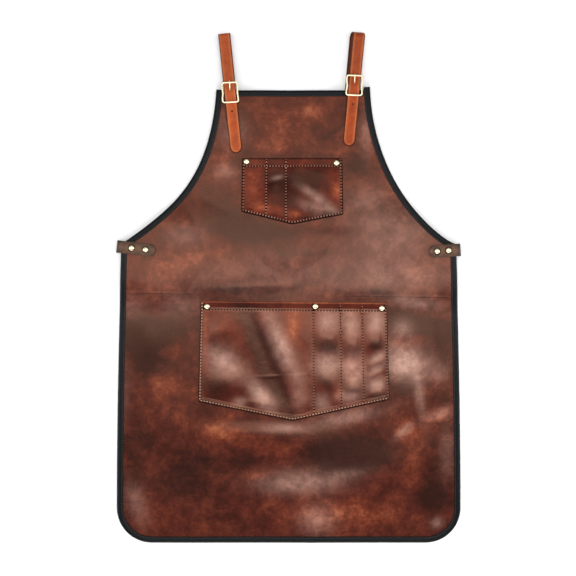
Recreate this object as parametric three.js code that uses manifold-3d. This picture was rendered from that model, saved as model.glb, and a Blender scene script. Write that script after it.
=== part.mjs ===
// A leather work apron lying on its back, with its two shoulder straps crossed underneath.
// Millimetres, +Z up, +Y from the hem to the shoulder straps, and left is -X.
// While it is built, y = 0 is the hem, x = 0 the middle of the skirt and z = 0 the surface it lies on.
import * as THREE from 'three';
import { mergeVertices } from 'three/addons/utils/BufferGeometryUtils.js';
import Module from 'manifold-3d';

const wasm = await Module();
wasm.setup();

// Apron sheet
const bodyHeight = 800;
const skirtWidth = 608;
const waistWidth = 591;
const waistHeight = 528;
const bibWidth = 272;
const bibShift = 8;
const hemCornerRadius = 62;
const leather = 1.6;
const gap = 0.3;
const cutterReach = 40;

// Edge binding, a strip folded over the edge of the sheet
const bindingWidth = 11;
const bindingWall = 1;

// Straps and the hardware on them
const strapWidth = 21.2;
const strapThickness = 2;
const tailLength = 106;
const holeRadius = 1.9;
const holeSpacing = 41;
const prongHoleAbove = 8;

// Buckles
const frameWidth = 30.5;
const frameLength = 37.5;
const frameWire = 1.5;
const frameCorner = 2.2;
const framePinch = 1.1;
const centreBarRadius = 1.2;
const prongRadius = 1.1;
const hookRadius = 0.7 * prongRadius;

// Anchors that hold the buckles to the bib
const anchorWidth = 21;
const anchorThickness = 1.7;
const anchorEndRadius = 9;
const anchorRamp = 14;
const anchorRivetInset = 13;

// Side tabs
const tabWidth = 22;
const tabThickness = 1.8;
const tabOverhang = 8;
const tabEndRadius = 8;
const tabRivetShares = [0.25, 0.61];
const strapEndPastRivet = 9;

// Rivets
const rivetRadius = 4.75;
const rivetShank = 1.5;
const rivetCap = 1.7;
const rivetBack = 0.8;

// Where the two sides differ. Angles are in degrees, and each length is a share of a size named above.
const sideShares = [
  {
    name: 'left', sign: -1, strapInset: 0.092, barDrop: 0.147, lean: 5.9, frameTilt: 3, foldAbove: 1,
    loopHeight: 6, loopShift: 0, anchorLength: 2.57, earRise: 0.09, tabLength: 3.136, tabDrop: 0.182,
    tabTilt: 6.6, lowHandle: 0.375, lowAngle: 34.9, highHandle: 0.593, highAngle: 3.6, crossesOver: true,
  },
  {
    name: 'right', sign: 1, strapInset: 0.105, barDrop: -0.181, lean: 5.3, frameTilt: 2.5, foldAbove: 0.892,
    loopHeight: 10, loopShift: 0.236, anchorLength: 2.857, earRise: 0.527, tabLength: 2.545, tabDrop: 0.455,
    tabTilt: 3.5, lowHandle: 0.098, lowAngle: 13.1, highHandle: 0.631, highAngle: 2.2, crossesOver: false,
  },
];
const sides = sideShares.map((side) => ({
  ...side,
  strapInset: side.strapInset * bibWidth,
  barDrop: side.barDrop * frameLength,
  foldAbove: side.foldAbove * tailLength,
  loopHeight: side.loopHeight * strapThickness,
  loopShift: side.loopShift * strapWidth,
  anchorLength: side.anchorLength * anchorWidth,
  earRise: side.earRise * bindingWidth,
  tabLength: side.tabLength * tabWidth,
  tabDrop: side.tabDrop * tabWidth,
}));

// Folds of the sheet, which fade out under the pockets. Places and sizes are shares: x and the two
// reaches of half the skirt's width, y of the body's height, and rise of foldRise. Turn is the angle
// of the fold's long axis in degrees.
const foldRise = 3.5;
const pocketFade = 30;
const folds = [
  { x: 0.76, y: 0.541, reach: 0.34, breadth: 0.07, rise: 0.55, turn: -2 },
  { x: -0.74, y: 0.548, reach: 0.3, breadth: 0.07, rise: 0.35, turn: 3 },
  { x: 0.66, y: 0.475, reach: 0.26, breadth: 0.13, rise: 0.8, turn: -14 },
  { x: -0.8, y: 0.455, reach: 0.16, breadth: 0.14, rise: 0.5, turn: 20 },
  { x: -0.08, y: 0.235, reach: 0.34, breadth: 0.11, rise: 0.85, turn: -8 },
  { x: 0.08, y: 0.13, reach: 0.3, breadth: 0.12, rise: 0.9, turn: 14 },
  { x: 0.15, y: 0.07, reach: 0.22, breadth: 0.09, rise: 0.5, turn: 80 },
  { x: -0.78, y: 0.09, reach: 0.3, breadth: 0.13, rise: 0.7, turn: -35 },
  { x: 0.78, y: 0.36, reach: 0.34, breadth: 0.11, rise: 0.8, turn: 75 },
  { x: -0.76, y: 0.3, reach: 0.4, breadth: 0.12, rise: 0.5, turn: 95 },
  { x: 0.62, y: 0.16, reach: 0.35, breadth: 0.12, rise: 0.6, turn: 30 },
  { x: -0.35, y: 0.6, reach: 0.3, breadth: 0.12, rise: 0.5, turn: 12 },
  { x: 0.33, y: 0.66, reach: 0.26, breadth: 0.13, rise: 0.4, turn: -30 },
];

// Pockets. A pocket's middle is beside the middle of the bib, and its top below the top of the bib.
const pocketMargin = 4;
const chestPocketWidth = 175.5;
const chestPocketHeight = 115.5;
const chestPocketHem = 13;
const chestPocketRise = 11;
const chestPocketBelowTop = 120.5;
const toolPocketWidth = 328;
const toolPocketHeight = 209;
const toolPocketHem = 15;
const toolPocketRise = 12;
const toolPocketBelowTop = 372.5;

// Places across, the spread and the middle are shares of the pocket's width, places up and down and
// the depths and the fall of the top are shares of its height, and rises are shares of its rise.
const pockets = [
  {
    name: 'chest_pocket', panels: ['chest_pocket'], width: chestPocketWidth, height: chestPocketHeight,
    hem: chestPocketHem, rise: chestPocketRise, belowTop: chestPocketBelowTop, middle: -0.01, spread: 0.02, topFall: 0,
    leftDepth: 0.805, rightDepth: 0.848, pointAt: 0.5, rows: 5,
    slots: [
      { from: 0, to: 0.23, rise: 0.9, cells: 5 },
      { from: 0.23, to: 0.435, rise: 0.9, cells: 5 },
      { from: 0.435, to: 1, rise: 1, cells: 7 },
    ],
    dents: [
      { across: 0.76, up: 0.45, reach: 0.2, breadth: 0.1, rise: 0.3, turn: -50 },
    ],
    rivets: [{ across: 0.04, down: 0.052 }, { across: 0.945, down: 0.072 }],
  },
  {
    name: 'tool_pocket', panels: ['tool_pocket', 'tool_pocket_slots'], width: toolPocketWidth,
    height: toolPocketHeight, hem: toolPocketHem, rise: toolPocketRise, belowTop: toolPocketBelowTop, middle: 0.003, spread: 0.0275, topFall: 0.0155,
    leftDepth: 0.847, rightDepth: 0.813, pointAt: 0.495, rows: 7,
    slots: [
      { from: 0, to: 0.608, rise: 1, cells: 11 },
      { from: 0.608, to: 0.757, rise: 0.77, cells: 5 },
      { from: 0.757, to: 0.877, rise: 0.84, cells: 5 },
      { from: 0.877, to: 1, rise: 0.92, cells: 5 },
    ],
    dents: [
      { across: 0.37, up: 0.5, reach: 0.36, breadth: 0.06, rise: -0.4, turn: -70 },
      { across: 0.45, up: 0.62, reach: 0.3, breadth: 0.05, rise: 0.25, turn: -66 },
      { across: 0.1, up: 0.4, reach: 0.14, breadth: 0.08, rise: 0.25, turn: 10 },
    ],
    rivets: [{ across: 0.034, down: 0.045 }, { across: 0.616, down: 0.035 }, { across: 0.973, down: 0.045 }],
  },
];
const pocketTop = (pocket) => bodyHeight - pocket.belowTop;
const pocketLeft = (pocket) => bibShift + (pocket.middle - 0.5) * pocket.width;

const colours = {
  body: 0x6d3a2b,
  pocket: 0x6a3326,
  binding: 0x1c1d20,
  strap: 0xb9562a,
  tab: 0x80502f,
  brass: 0xc9b27a,
};

const smoothstep = THREE.MathUtils.smoothstep;
const lerp = THREE.MathUtils.lerp;
const degrees = THREE.MathUtils.degToRad;
const vector = (x, y, z = 0) => new THREE.Vector3(x, y, z);

// A closed geometry made to face outward, from corner positions and triangles
function closedGeometry(positions, triangles) {
  let volume = 0;
  const corners = [vector(0, 0), vector(0, 0), vector(0, 0)];
  for (let i = 0; i < triangles.length; i += 3) {
    corners.forEach((corner, k) => corner.fromArray(positions, 3 * triangles[i + k]));
    volume += corners[0].dot(corners[1].clone().cross(corners[2]));
  }
  const geometry = new THREE.BufferGeometry();
  geometry.setAttribute('position', new THREE.Float32BufferAttribute(positions, 3));
  geometry.setIndex(volume < 0 ? triangles.slice().reverse() : triangles);
  return geometry;
}

// A slab between two sheets of points. Each row is a list of { top, bottom } pairs.
function slab(rows) {
  const across = rows[0].length;
  const positions = [];
  const triangles = [];
  rows.flat().forEach(({ top, bottom }) => positions.push(...top.toArray(), ...bottom.toArray()));
  const index = (i, j, side) => 2 * (i * across + j) + side;
  const quad = (a, b, c, d) => triangles.push(a, b, c, a, c, d);
  const last = rows.length - 1;
  const end = across - 1;
  for (let i = 0; i < last; i += 1) {
    for (let j = 0; j < end; j += 1) {
      quad(index(i, j, 0), index(i, j + 1, 0), index(i + 1, j + 1, 0), index(i + 1, j, 0));
      quad(index(i, j, 1), index(i + 1, j, 1), index(i + 1, j + 1, 1), index(i, j + 1, 1));
    }
    quad(index(i, 0, 1), index(i, 0, 0), index(i + 1, 0, 0), index(i + 1, 0, 1));
    quad(index(i, end, 0), index(i, end, 1), index(i + 1, end, 1), index(i + 1, end, 0));
  }
  for (let j = 0; j < end; j += 1) {
    quad(index(0, j, 1), index(0, j + 1, 1), index(0, j + 1, 0), index(0, j, 0));
    quad(index(last, j, 0), index(last, j + 1, 0), index(last, j + 1, 1), index(last, j, 1));
  }
  return closedGeometry(positions, triangles);
}

function solidOf(geometry) {
  const bare = geometry.clone();
  bare.deleteAttribute('normal');
  bare.deleteAttribute('uv');
  const merged = mergeVertices(bare, 1e-5);
  const vertProperties = Float32Array.from(merged.attributes.position.array);
  const triVerts = Uint32Array.from(merged.index.array);
  return new wasm.Manifold(new wasm.Mesh({ numProp: 3, vertProperties, triVerts }));
}

function geometryOf(solid) {
  const { vertProperties, triVerts } = solid.getMesh();
  const geometry = new THREE.BufferGeometry();
  geometry.setAttribute('position', new THREE.Float32BufferAttribute(Array.from(vertProperties), 3));
  geometry.setIndex(Array.from(triVerts));
  return geometry;
}

// A round rod between two points
function rod(from, to, radius, tipRadius = radius, faces = 8) {
  const along = to.clone().sub(from);
  const geometry = new THREE.CylinderGeometry(tipRadius, radius, along.length(), faces);
  const turn = new THREE.Quaternion().setFromUnitVectors(vector(0, 1), along.clone().normalize());
  geometry.applyQuaternion(turn);
  return geometry.translate(...from.clone().add(to).multiplyScalar(0.5).toArray());
}

function withHoles(geometry, cutters) {
  return geometryOf(cutters.reduce((solid, cutter) => solid.subtract(solidOf(cutter)), solidOf(geometry)));
}

function holeAt(point, radius) {
  return rod(vector(point.x, point.y, -cutterReach), vector(point.x, point.y, cutterReach), radius);
}

// Outline of the apron: the outer edge of the binding, as runs of points that go round clockwise
const bibEdge = (side) => bibShift + side.sign * bibWidth / 2;
const bibCorner = (side) => vector(bibEdge(side), bodyHeight);
const waistCorner = (side) => vector(side.sign * waistWidth / 2, waistHeight);

function armholeCurve(side) {
  const height = bodyHeight - waistHeight;
  const low = degrees(side.lowAngle);
  const high = degrees(side.highAngle);
  const lowReach = height * side.lowHandle;
  const highReach = height * side.highHandle;
  const waist = waistCorner(side);
  const corner = bibCorner(side);
  return new THREE.CubicBezierCurve3(
    waist,
    waist.clone().add(vector(-side.sign * lowReach * Math.cos(low), lowReach * Math.sin(low))),
    corner.clone().add(vector(side.sign * highReach * Math.sin(high), -highReach * Math.cos(high))),
    corner,
  );
}

function skirtSide(side) {
  const edge = side.sign * skirtWidth / 2;
  return new THREE.QuadraticBezierCurve3(
    waistCorner(side), vector(edge, waistHeight * 0.5), vector(edge, hemCornerRadius),
  );
}

function hemCorner(side, steps) {
  const centre = vector(side.sign * (skirtWidth / 2 - hemCornerRadius), hemCornerRadius);
  return Array.from({ length: steps - 1 }, (_, k) => {
    const angle = (Math.PI / 2) * (k + 1) / steps;
    return centre.clone().add(
      vector(side.sign * hemCornerRadius * Math.cos(angle), -hemCornerRadius * Math.sin(angle)),
    );
  });
}

const [leftSide, rightSide] = sides;
const armholeSteps = 13;
const topSteps = 10;
const skirtSteps = 17;
const cornerSteps = 5;
const hemSteps = 17;
const hemLine = new THREE.LineCurve3(
  vector(skirtWidth / 2 - hemCornerRadius, 0), vector(hemCornerRadius - skirtWidth / 2, 0),
);
const topLine = new THREE.LineCurve3(bibCorner(leftSide), bibCorner(rightSide));
const outline = [
  ...topLine.getPoints(topSteps),
  ...armholeCurve(rightSide).getSpacedPoints(armholeSteps).reverse().slice(1),
  ...skirtSide(rightSide).getSpacedPoints(skirtSteps).slice(1),
  ...hemCorner(rightSide, cornerSteps),
  ...hemLine.getPoints(hemSteps),
  ...hemCorner(leftSide, cornerSteps).reverse(),
  ...skirtSide(leftSide).getSpacedPoints(skirtSteps).reverse(),
  ...armholeCurve(leftSide).getSpacedPoints(armholeSteps).slice(1, -1),
];

// The inward direction at each outline point, lengthened at corners so that an inset keeps its distance
const inward = outline.map((point, i) => {
  const before = outline[(i + outline.length - 1) % outline.length];
  const after = outline[(i + 1) % outline.length];
  const into = point.clone().sub(before).normalize();
  const out = after.clone().sub(point).normalize();
  const normal = vector(into.y, -into.x).add(vector(out.y, -out.x)).normalize();
  return normal.divideScalar(normal.dot(vector(into.y, -into.x)));
});

const insetPoint = (i, distance) => outline[i].clone().addScaledVector(inward[i], distance);

function distanceToLine(points, point) {
  let nearest = Infinity;
  for (let i = 0; i + 1 < points.length; i += 1) {
    const [from, to] = [points[i], points[i + 1]];
    const segment = new THREE.Line3(vector(from.x, from.y), vector(to.x, to.y));
    nearest = Math.min(nearest, segment.closestPointToPoint(point, true, vector(0, 0)).distanceTo(point));
  }
  return nearest;
}

// Heights in the stack of leather at a buckle, above the top face of the sheet
const anchorLow = bindingWall + 2 * gap;
const barHeight = anchorLow + anchorThickness + gap + centreBarRadius;
const strapOverBar = barHeight + centreBarRadius + 2 * gap + anchorThickness;
const strapUnderEnds = anchorLow + 2 * anchorThickness + 3 * gap;
const endBarHeight = strapUnderEnds + strapThickness + gap + frameWire;
const strapOverRivet = 2 * (gap + anchorThickness) + gap + rivetCap + gap;
const endBarAt = frameLength / 2 - frameWire;

// Heights in the stack of leather at a side tab, above the surface that the apron lies on
const tabBackLeg = rivetBack + gap;
const strapAtTab = tabBackLeg + tabThickness + gap;

// Levels of the sheet's underside: on the surface, over one strap, over the crossing and over a tab
const floorLevel = bindingWall + gap;
const strapLevel = strapThickness + gap + floorLevel;
const crossingLevel = strapLevel + strapThickness + gap;
const tabLevel = strapAtTab + strapThickness + gap + floorLevel;
const tabFrontLeg = tabLevel + leather + anchorLow;
const supportReach = 50;
const supportFade = 115;

// The line of a strap at its buckle: bar is the centre bar's middle, up points to the fold at the top
const barPoint = (side) => vector(bibEdge(side) - side.sign * side.strapInset, bodyHeight - side.barDrop);
const upVector = (side, angle) => vector(side.sign * Math.sin(degrees(angle)), Math.cos(degrees(angle)));
const acrossVector = (up) => vector(up.y, -up.x);

// The line of a side tab: outer is the fold past the edge of the apron, in points to the rounded end
function tabLine(side) {
  const outer = waistCorner(side).add(vector(side.sign * tabOverhang, -side.tabDrop));
  const angle = degrees(side.tabTilt);
  return { outer, in: vector(-side.sign * Math.cos(angle), -Math.sin(angle)) };
}

const tabPoint = (side, fromInner) => {
  const line = tabLine(side);
  return line.outer.clone().addScaledVector(line.in, side.tabLength - fromInner);
};

// The hidden run of a strap: down behind the bib, then in one curve to the tab of the other side
const hiddenDown = 265;
const hiddenAcross = 235;
function hiddenCurve(side) {
  const other = side === leftSide ? rightSide : leftSide;
  const start = barPoint(side).addScaledVector(acrossVector(upVector(side, side.lean)), -side.loopShift);
  const endAt = tabPoint(other, other.tabLength * tabRivetShares[1] + strapEndPastRivet);
  return new THREE.CubicBezierCurve3(
    start,
    start.clone().addScaledVector(upVector(side, side.lean), -hiddenDown),
    endAt.clone().addScaledVector(tabLine(other).in, hiddenAcross),
    endAt,
  );
}

const hiddenSteps = 26;
const hiddenRuns = sides.map((side) => hiddenCurve(side).getSpacedPoints(hiddenSteps));
const crossing = hiddenRuns[0].reduce((best, point) => (
  distanceToLine(hiddenRuns[1], point) < distanceToLine(hiddenRuns[1], best) ? point : best
));

// Height of the sheet's underside, before it is faceted
function bump(distance, reach = supportReach, fade = supportFade) {
  return 1 - smoothstep(distance, reach, fade);
}

function foldsAt(point) {
  const half = skirtWidth / 2;
  return folds.reduce((sum, fold) => {
    const turn = degrees(fold.turn);
    const dx = point.x - fold.x * half;
    const dy = point.y - fold.y * bodyHeight;
    const along = (dx * Math.cos(turn) + dy * Math.sin(turn)) / (fold.reach * half);
    const aside = (dy * Math.cos(turn) - dx * Math.sin(turn)) / (fold.breadth * half);
    return sum + foldRise * fold.rise * Math.exp(-along * along - aside * aside);
  }, 0);
}

// How far a point lies outside the upright rectangle round a pocket
function distanceToPocket(pocket, point) {
  const low = vector(pocketLeft(pocket), pocketTop(pocket) - pocket.height);
  const high = vector(pocketLeft(pocket) + pocket.width, pocketTop(pocket));
  return new THREE.Box3(low, high).distanceToPoint(point);
}

function drape(x, y) {
  const point = vector(x, y);
  const supports = [0];
  sides.forEach((side, k) => {
    const bar = barPoint(side);
    const top = bar.clone().addScaledVector(upVector(side, side.lean), side.foldAbove);
    const strapLine = [top, ...hiddenRuns[k]];
    supports.push((strapLevel - floorLevel) * bump(distanceToLine(strapLine, point)));
    const line = tabLine(side);
    const tab = [line.outer, tabPoint(side, 0)];
    supports.push((tabLevel - floorLevel) * bump(distanceToLine(tab, point)));
  });
  supports.push((crossingLevel - floorLevel) * bump(point.distanceTo(crossing)));
  const fromEdge = distanceToLine([...outline, outline[0]], point);
  const edgeFade = smoothstep(fromEdge, bindingWidth, 5 * bindingWidth);
  const outside = y < 0 || y > bodyHeight || Math.abs(x) > skirtWidth / 2 ? 0 : 1;
  const besidePockets = Math.min(
    ...pockets.map((pocket) => smoothstep(distanceToPocket(pocket, point), 0, pocketFade)),
  );
  return floorLevel + Math.max(...supports) + outside * edgeFade * besidePockets * foldsAt(point);
}

// The sheet is a lattice of heights a little larger than the apron, with one diagonal in each cell
const latticeMargin = 20;
const lattice = { across: 20, along: 26, left: -skirtWidth / 2 - latticeMargin, low: -latticeMargin };
lattice.stepX = (skirtWidth + 2 * latticeMargin) / lattice.across;
lattice.stepY = (bodyHeight + 2 * latticeMargin) / lattice.along;
lattice.heights = Array.from({ length: lattice.along + 1 }, (_, i) => (
  Array.from({ length: lattice.across + 1 }, (__, j) => (
    drape(lattice.left + j * lattice.stepX, lattice.low + i * lattice.stepY)
  ))
));

function sheetBack(point) {
  const fx = THREE.MathUtils.clamp((point.x - lattice.left) / lattice.stepX, 0, lattice.across - 1e-6);
  const fy = THREE.MathUtils.clamp((point.y - lattice.low) / lattice.stepY, 0, lattice.along - 1e-6);
  const j = Math.floor(fx);
  const i = Math.floor(fy);
  const u = fx - j;
  const v = fy - i;
  const h = lattice.heights;
  if (u >= v) {
    return h[i][j] + u * (h[i][j + 1] - h[i][j]) + v * (h[i + 1][j + 1] - h[i][j + 1]);
  }
  return h[i][j] + v * (h[i + 1][j] - h[i][j]) + u * (h[i + 1][j + 1] - h[i + 1][j]);
}

const sheetTop = (point) => sheetBack(point) + leather;

// The lowest and highest level of a solid within the round seat of a rivet
function rivetSeat(solid, point) {
  const { min, max } = solid.intersect(solidOf(holeAt(point, rivetRadius))).boundingBox();
  return { low: min[2], high: max[2] };
}

// A rivet in one piece: back cap, shank and domed cap, between the two faces of what it holds
function rivetGeometry(low, high) {
  const profile = [
    [0, low - gap - rivetBack],
    [rivetRadius * 0.94, low - gap - rivetBack],
    [rivetRadius, low - gap],
    [rivetShank, low - gap],
    [rivetShank, high + gap],
    [rivetRadius, high + gap],
    [rivetRadius * 0.72, high + gap + rivetCap * 0.75],
    [0, high + gap + rivetCap],
  ];
  const lathe = new THREE.LatheGeometry(profile.map(([x, y]) => new THREE.Vector2(x, y)), 10);
  return lathe.rotateX(Math.PI / 2);
}

const parts = new THREE.Group();
function add(name, geometry, colour, roughness = 0.5, metalness = 0) {
  const material = new THREE.MeshStandardMaterial({ color: colour, roughness, metalness });
  const mesh = new THREE.Mesh(geometry, material);
  mesh.name = name;
  parts.add(mesh);
  return mesh;
}

function addRivet(name, point, low, high) {
  const mesh = add(name, rivetGeometry(low, high), colours.brass, 0.3, 1);
  mesh.position.set(point.x, point.y, 0);
}

const shankHole = (point) => holeAt(point, rivetShank + gap);

// Pocket panels: a sheet that lies on the apron at its seams and stands off it between them
function pocketPoint(pocket, across, up) {
  const spreadHere = pocket.spread * pocket.width * (1 - up);
  const x = pocketLeft(pocket) - spreadHere / 2 + across * (pocket.width + spreadHere);
  const top = pocketTop(pocket) - pocket.topFall * pocket.height * across;
  const share = across < pocket.pointAt ? across / pocket.pointAt : (1 - across) / (1 - pocket.pointAt);
  const cornerDepth = across < pocket.pointAt ? pocket.leftDepth : pocket.rightDepth;
  const depth = pocket.height * lerp(cornerDepth, 1, share);
  return { x, top, depth };
}

// The share across the whole panel of a place between its two side seams
function betweenSeams(pocket, share) {
  const margin = pocketMargin / pocket.width;
  return margin + share * (1 - 2 * margin);
}

function pocketColumns(pocket) {
  const columns = [{ across: 0, bulge: 0 }];
  pocket.slots.forEach((slot) => {
    for (let k = 0; k < slot.cells; k += 1) {
      const share = k / slot.cells;
      const flatTop = slot.to - slot.from > 0.5 ? 4 : 2;
      const bulge = slot.rise * (1 - Math.abs(2 * share - 1) ** flatTop);
      columns.push({ across: betweenSeams(pocket, lerp(slot.from, slot.to, share)), bulge });
    }
  });
  columns.push({ across: betweenSeams(pocket, 1), bulge: 0 }, { across: 1, bulge: 0 });
  return columns;
}

function pocketRows(pocket) {
  const rows = [{ up: 0, low: 0, hem: 0, swell: 0 }];
  for (let k = 0; k <= pocket.rows; k += 1) {
    const share = k / pocket.rows;
    rows.push({ up: 0.02 + 0.9 * share, low: 1 - share, hem: share, swell: smoothstep(share, 0, 0.55) });
  }
  rows.push({ up: 0.93, low: 0, hem: 1, swell: 1, doubled: true });
  rows.push({ up: 1, low: 0, hem: 0, swell: 1, doubled: true });
  return rows;
}

function dentsAt(pocket, across, up) {
  return pocket.dents.reduce((sum, dent) => {
    const turn = degrees(dent.turn);
    const dx = across - dent.across;
    const dy = (up - dent.up) * pocket.height / pocket.width;
    const along = (dx * Math.cos(turn) + dy * Math.sin(turn)) / dent.reach;
    const aside = (dy * Math.cos(turn) - dx * Math.sin(turn)) / dent.breadth;
    return sum + dent.rise * Math.exp(-along * along - aside * aside);
  }, 0);
}

function pocketGrid(pocket) {
  const rows = pocketRows(pocket);
  return rows.map((row, i) => pocketColumns(pocket).map(({ across, bulge }) => {
    const { x, top, depth } = pocketPoint(pocket, across, row.up);
    const bottom = top - depth;
    const hemLine = top - pocket.hem;
    let y = lerp(bottom + pocketMargin, hemLine, row.hem);
    if (i === 0) y = bottom;
    if (row.doubled) y = i === rows.length - 1 ? top : hemLine + gap;
    const swell = bulge * row.swell;
    const lift = pocket.rise * swell * (1 + dentsAt(pocket, across, (y - bottom) / depth));
    const low = sheetTop(vector(x, y)) + 1.5 * gap + lift;
    const thickness = row.doubled ? 1.8 * leather : leather;
    return { top: vector(x, y, low + thickness), bottom: vector(x, y, low) };
  }));
}

// A thin wall along the stitched divider after a pocket's first compartment, to cut its panel in two
function dividerCutter(pocket) {
  const across = betweenSeams(pocket, pocket.slots[0].to);
  const [low, high] = [0, 1].map((up) => (
    vector(pocketPoint(pocket, across, up).x, pocketTop(pocket) - (1 - up) * pocket.height)
  ));
  const line = high.clone().sub(low);
  const wall = new THREE.BoxGeometry(gap, 1.2 * line.length(), 2 * cutterReach);
  wall.rotateZ(-Math.atan2(line.x, line.y));
  return wall.translate(...low.add(high).multiplyScalar(0.5).toArray());
}

function buildPocket(pocket) {
  const panel = slab(pocketGrid(pocket));
  const holes = pocket.rivets.map((rivet, k) => {
    const place = pocketPoint(pocket, rivet.across, 1);
    const point = vector(place.x, place.top - rivet.down * pocket.height);
    const { high } = rivetSeat(solidOf(panel), point);
    const { low } = rivetSeat(sheetSolid, point);
    addRivet(`${pocket.name}_rivet_${k + 1}`, point, low, high);
    bodyHoles.push(shankHole(point));
    return shankHole(point);
  });
  const cutters = pocket.panels.length > 1 ? [...holes, dividerCutter(pocket)] : holes;
  const leftFirst = (a, b) => a.boundingBox().min[0] - b.boundingBox().min[0];
  const pieces = solidOf(withHoles(panel, cutters)).decompose().sort(leftFirst);
  pieces.forEach((piece, k) => add(pocket.panels[k], geometryOf(piece), colours.pocket, 0.4));
}

// A strip of leather along a path of { middle, across, normal }, with rounded ends
function strip(path, width, thickness, startRadius, endRadius) {
  const lengths = [0];
  path.slice(1).forEach((step, i) => lengths.push(lengths[i] + step.middle.distanceTo(path[i].middle)));
  const total = lengths[lengths.length - 1];
  const endShares = [0.02, 0.12, 0.34, 0.66, 1];
  const stations = [
    ...endShares.map((share) => startRadius * share),
    ...lengths.filter((at) => at > startRadius + thickness / 2 && at < total - endRadius - thickness / 2),
    ...endShares.map((share) => total - endRadius * share).reverse(),
  ];
  const rounding = (at, radius) => (at >= radius ? 0 : radius - Math.sqrt(radius ** 2 - (radius - at) ** 2));
  const rows = stations.map((at) => {
    const i = Math.min(lengths.findLastIndex((length) => length <= at), path.length - 2);
    const share = (at - lengths[i]) / (lengths[i + 1] - lengths[i]);
    const mix = (key) => path[i][key].clone().lerp(path[i + 1][key], share);
    const half = width / 2 - rounding(at, startRadius) - rounding(total - at, endRadius);
    const middle = mix('middle');
    const across = mix('across').normalize();
    const normal = mix('normal').normalize();
    return [-1, 1].map((edge) => ({
      top: middle.clone().addScaledVector(across, edge * half).addScaledVector(normal, thickness / 2),
      bottom: middle.clone().addScaledVector(across, edge * half).addScaledVector(normal, -thickness / 2),
    }));
  });
  return slab(rows);
}

// A path that stays in one upright plane: places are { at, height } along a direction from an origin
function uprightPath(places, origin, along, across) {
  return places.map((place, i) => {
    const before = places[Math.max(i - 1, 0)];
    const after = places[Math.min(i + 1, places.length - 1)];
    const tangent = along.clone().multiplyScalar(after.at - before.at).setZ(after.height - before.height);
    return {
      middle: origin.clone().addScaledVector(along, place.at).setZ(place.height),
      across,
      normal: across.clone().cross(tangent).normalize(),
    };
  });
}

// Points of a turn round a centre in an upright plane, from one angle to another in degrees
function turnPlaces(centre, radius, from, to, steps) {
  return Array.from({ length: steps + 1 }, (_, k) => {
    const angle = degrees(lerp(from, to, k / steps));
    return { at: centre.at + radius * Math.cos(angle), height: centre.height + radius * Math.sin(angle) };
  });
}

// Heights between the rows of a table of { at, height }, level at each row
function levelBetween(rows, at) {
  const i = Math.max(0, Math.min(rows.findLastIndex((row) => row.at <= at), rows.length - 2));
  return lerp(rows[i].height, rows[i + 1].height, smoothstep(at, rows[i].at, rows[i + 1].at));
}

// Buckles
const buckleBase = (side) => sheetTop(barPoint(side).clone().setY(Math.min(barPoint(side).y, bodyHeight)));

function frameRing() {
  const halfWidth = frameWidth / 2 - frameWire;
  const halfLength = frameLength / 2 - frameWire;
  const places = [];
  [[1, 1], [-1, 1], [-1, -1], [1, -1]].forEach(([sx, sy], quarter) => {
    for (let k = 0; k <= 3; k += 1) {
      const angle = degrees(90 * quarter + 30 * k);
      places.push(vector(
        sx * (halfWidth - frameCorner) + frameCorner * Math.cos(angle),
        sy * (halfLength - frameCorner) + frameCorner * Math.sin(angle),
      ));
    }
    if (sy === 1 && sx === -1) places.push(vector(-halfWidth + framePinch, 0));
    if (sy === -1 && sx === 1) places.push(vector(halfWidth - framePinch, 0));
  });
  const faces = 8;
  const positions = [];
  const triangles = [];
  places.forEach((place, i) => {
    const before = places[(i + places.length - 1) % places.length];
    const after = places[(i + 1) % places.length];
    const along = after.clone().sub(before).normalize();
    for (let k = 0; k < faces; k += 1) {
      const angle = (2 * Math.PI * k) / faces;
      const out = frameWire * Math.cos(angle);
      positions.push(place.x + along.y * out, place.y - along.x * out, frameWire * Math.sin(angle));
      const next = (k + 1) % faces;
      const row = i * faces;
      const nextRow = ((i + 1) % places.length) * faces;
      triangles.push(row + k, row + next, nextRow + next, row + k, nextRow + next, nextRow + k);
    }
  });
  return closedGeometry(positions, triangles).translate(0, 0, endBarHeight);
}

function frameGeometry() {
  const legX = frameWidth / 2 - frameWire - framePinch;
  const barEnd = legX + centreBarRadius / 6;
  const bar = rod(vector(-barEnd, 0, barHeight), vector(barEnd, 0, barHeight), centreBarRadius);
  const legLow = barHeight - centreBarRadius;
  const leg = (edge) => (
    rod(vector(edge * legX, 0, legLow), vector(edge * legX, 0, endBarHeight), centreBarRadius)
  );
  const solid = solidOf(frameRing()).add(solidOf(bar)).add(solidOf(leg(-1))).add(solidOf(leg(1)));
  return geometryOf(solid);
}

// The prong is a hook round the centre bar with a tapered tongue that rests on the far end bar
function prongGeometry(swell = 0) {
  const ringMiddle = centreBarRadius + gap + hookRadius;
  const ring = new THREE.TorusGeometry(ringMiddle, hookRadius + swell, 6, 12).rotateY(Math.PI / 2);
  ring.translate(0, 0, barHeight);
  const root = vector(0, ringMiddle * 0.6, barHeight + ringMiddle * 0.8);
  const restAt = vector(0, endBarAt, endBarHeight + frameWire + prongRadius + 1.5 * gap);
  const tip = restAt.clone().add(restAt.clone().sub(root).setLength(frameWire + prongRadius));
  const tongue = rod(root, tip, prongRadius + swell, 0.75 * prongRadius + swell);
  return geometryOf(solidOf(ring).add(solidOf(tongue)));
}

function placeAtBuckle(geometry, side) {
  const bar = barPoint(side);
  const turn = -side.sign * degrees(side.frameTilt);
  return geometry.clone().rotateZ(turn).translate(bar.x, bar.y, buckleBase(side));
}

function buildBuckle(side) {
  [['buckle_frame', frameGeometry()], ['buckle_prong', prongGeometry()]].forEach(([name, geometry]) => {
    const mesh = add(`${name}_${side.name}`, geometry, colours.brass, 0.28, 1);
    mesh.position.copy(barPoint(side)).setZ(buckleBase(side));
    mesh.rotation.z = -side.sign * degrees(side.frameTilt);
  });
}

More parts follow.
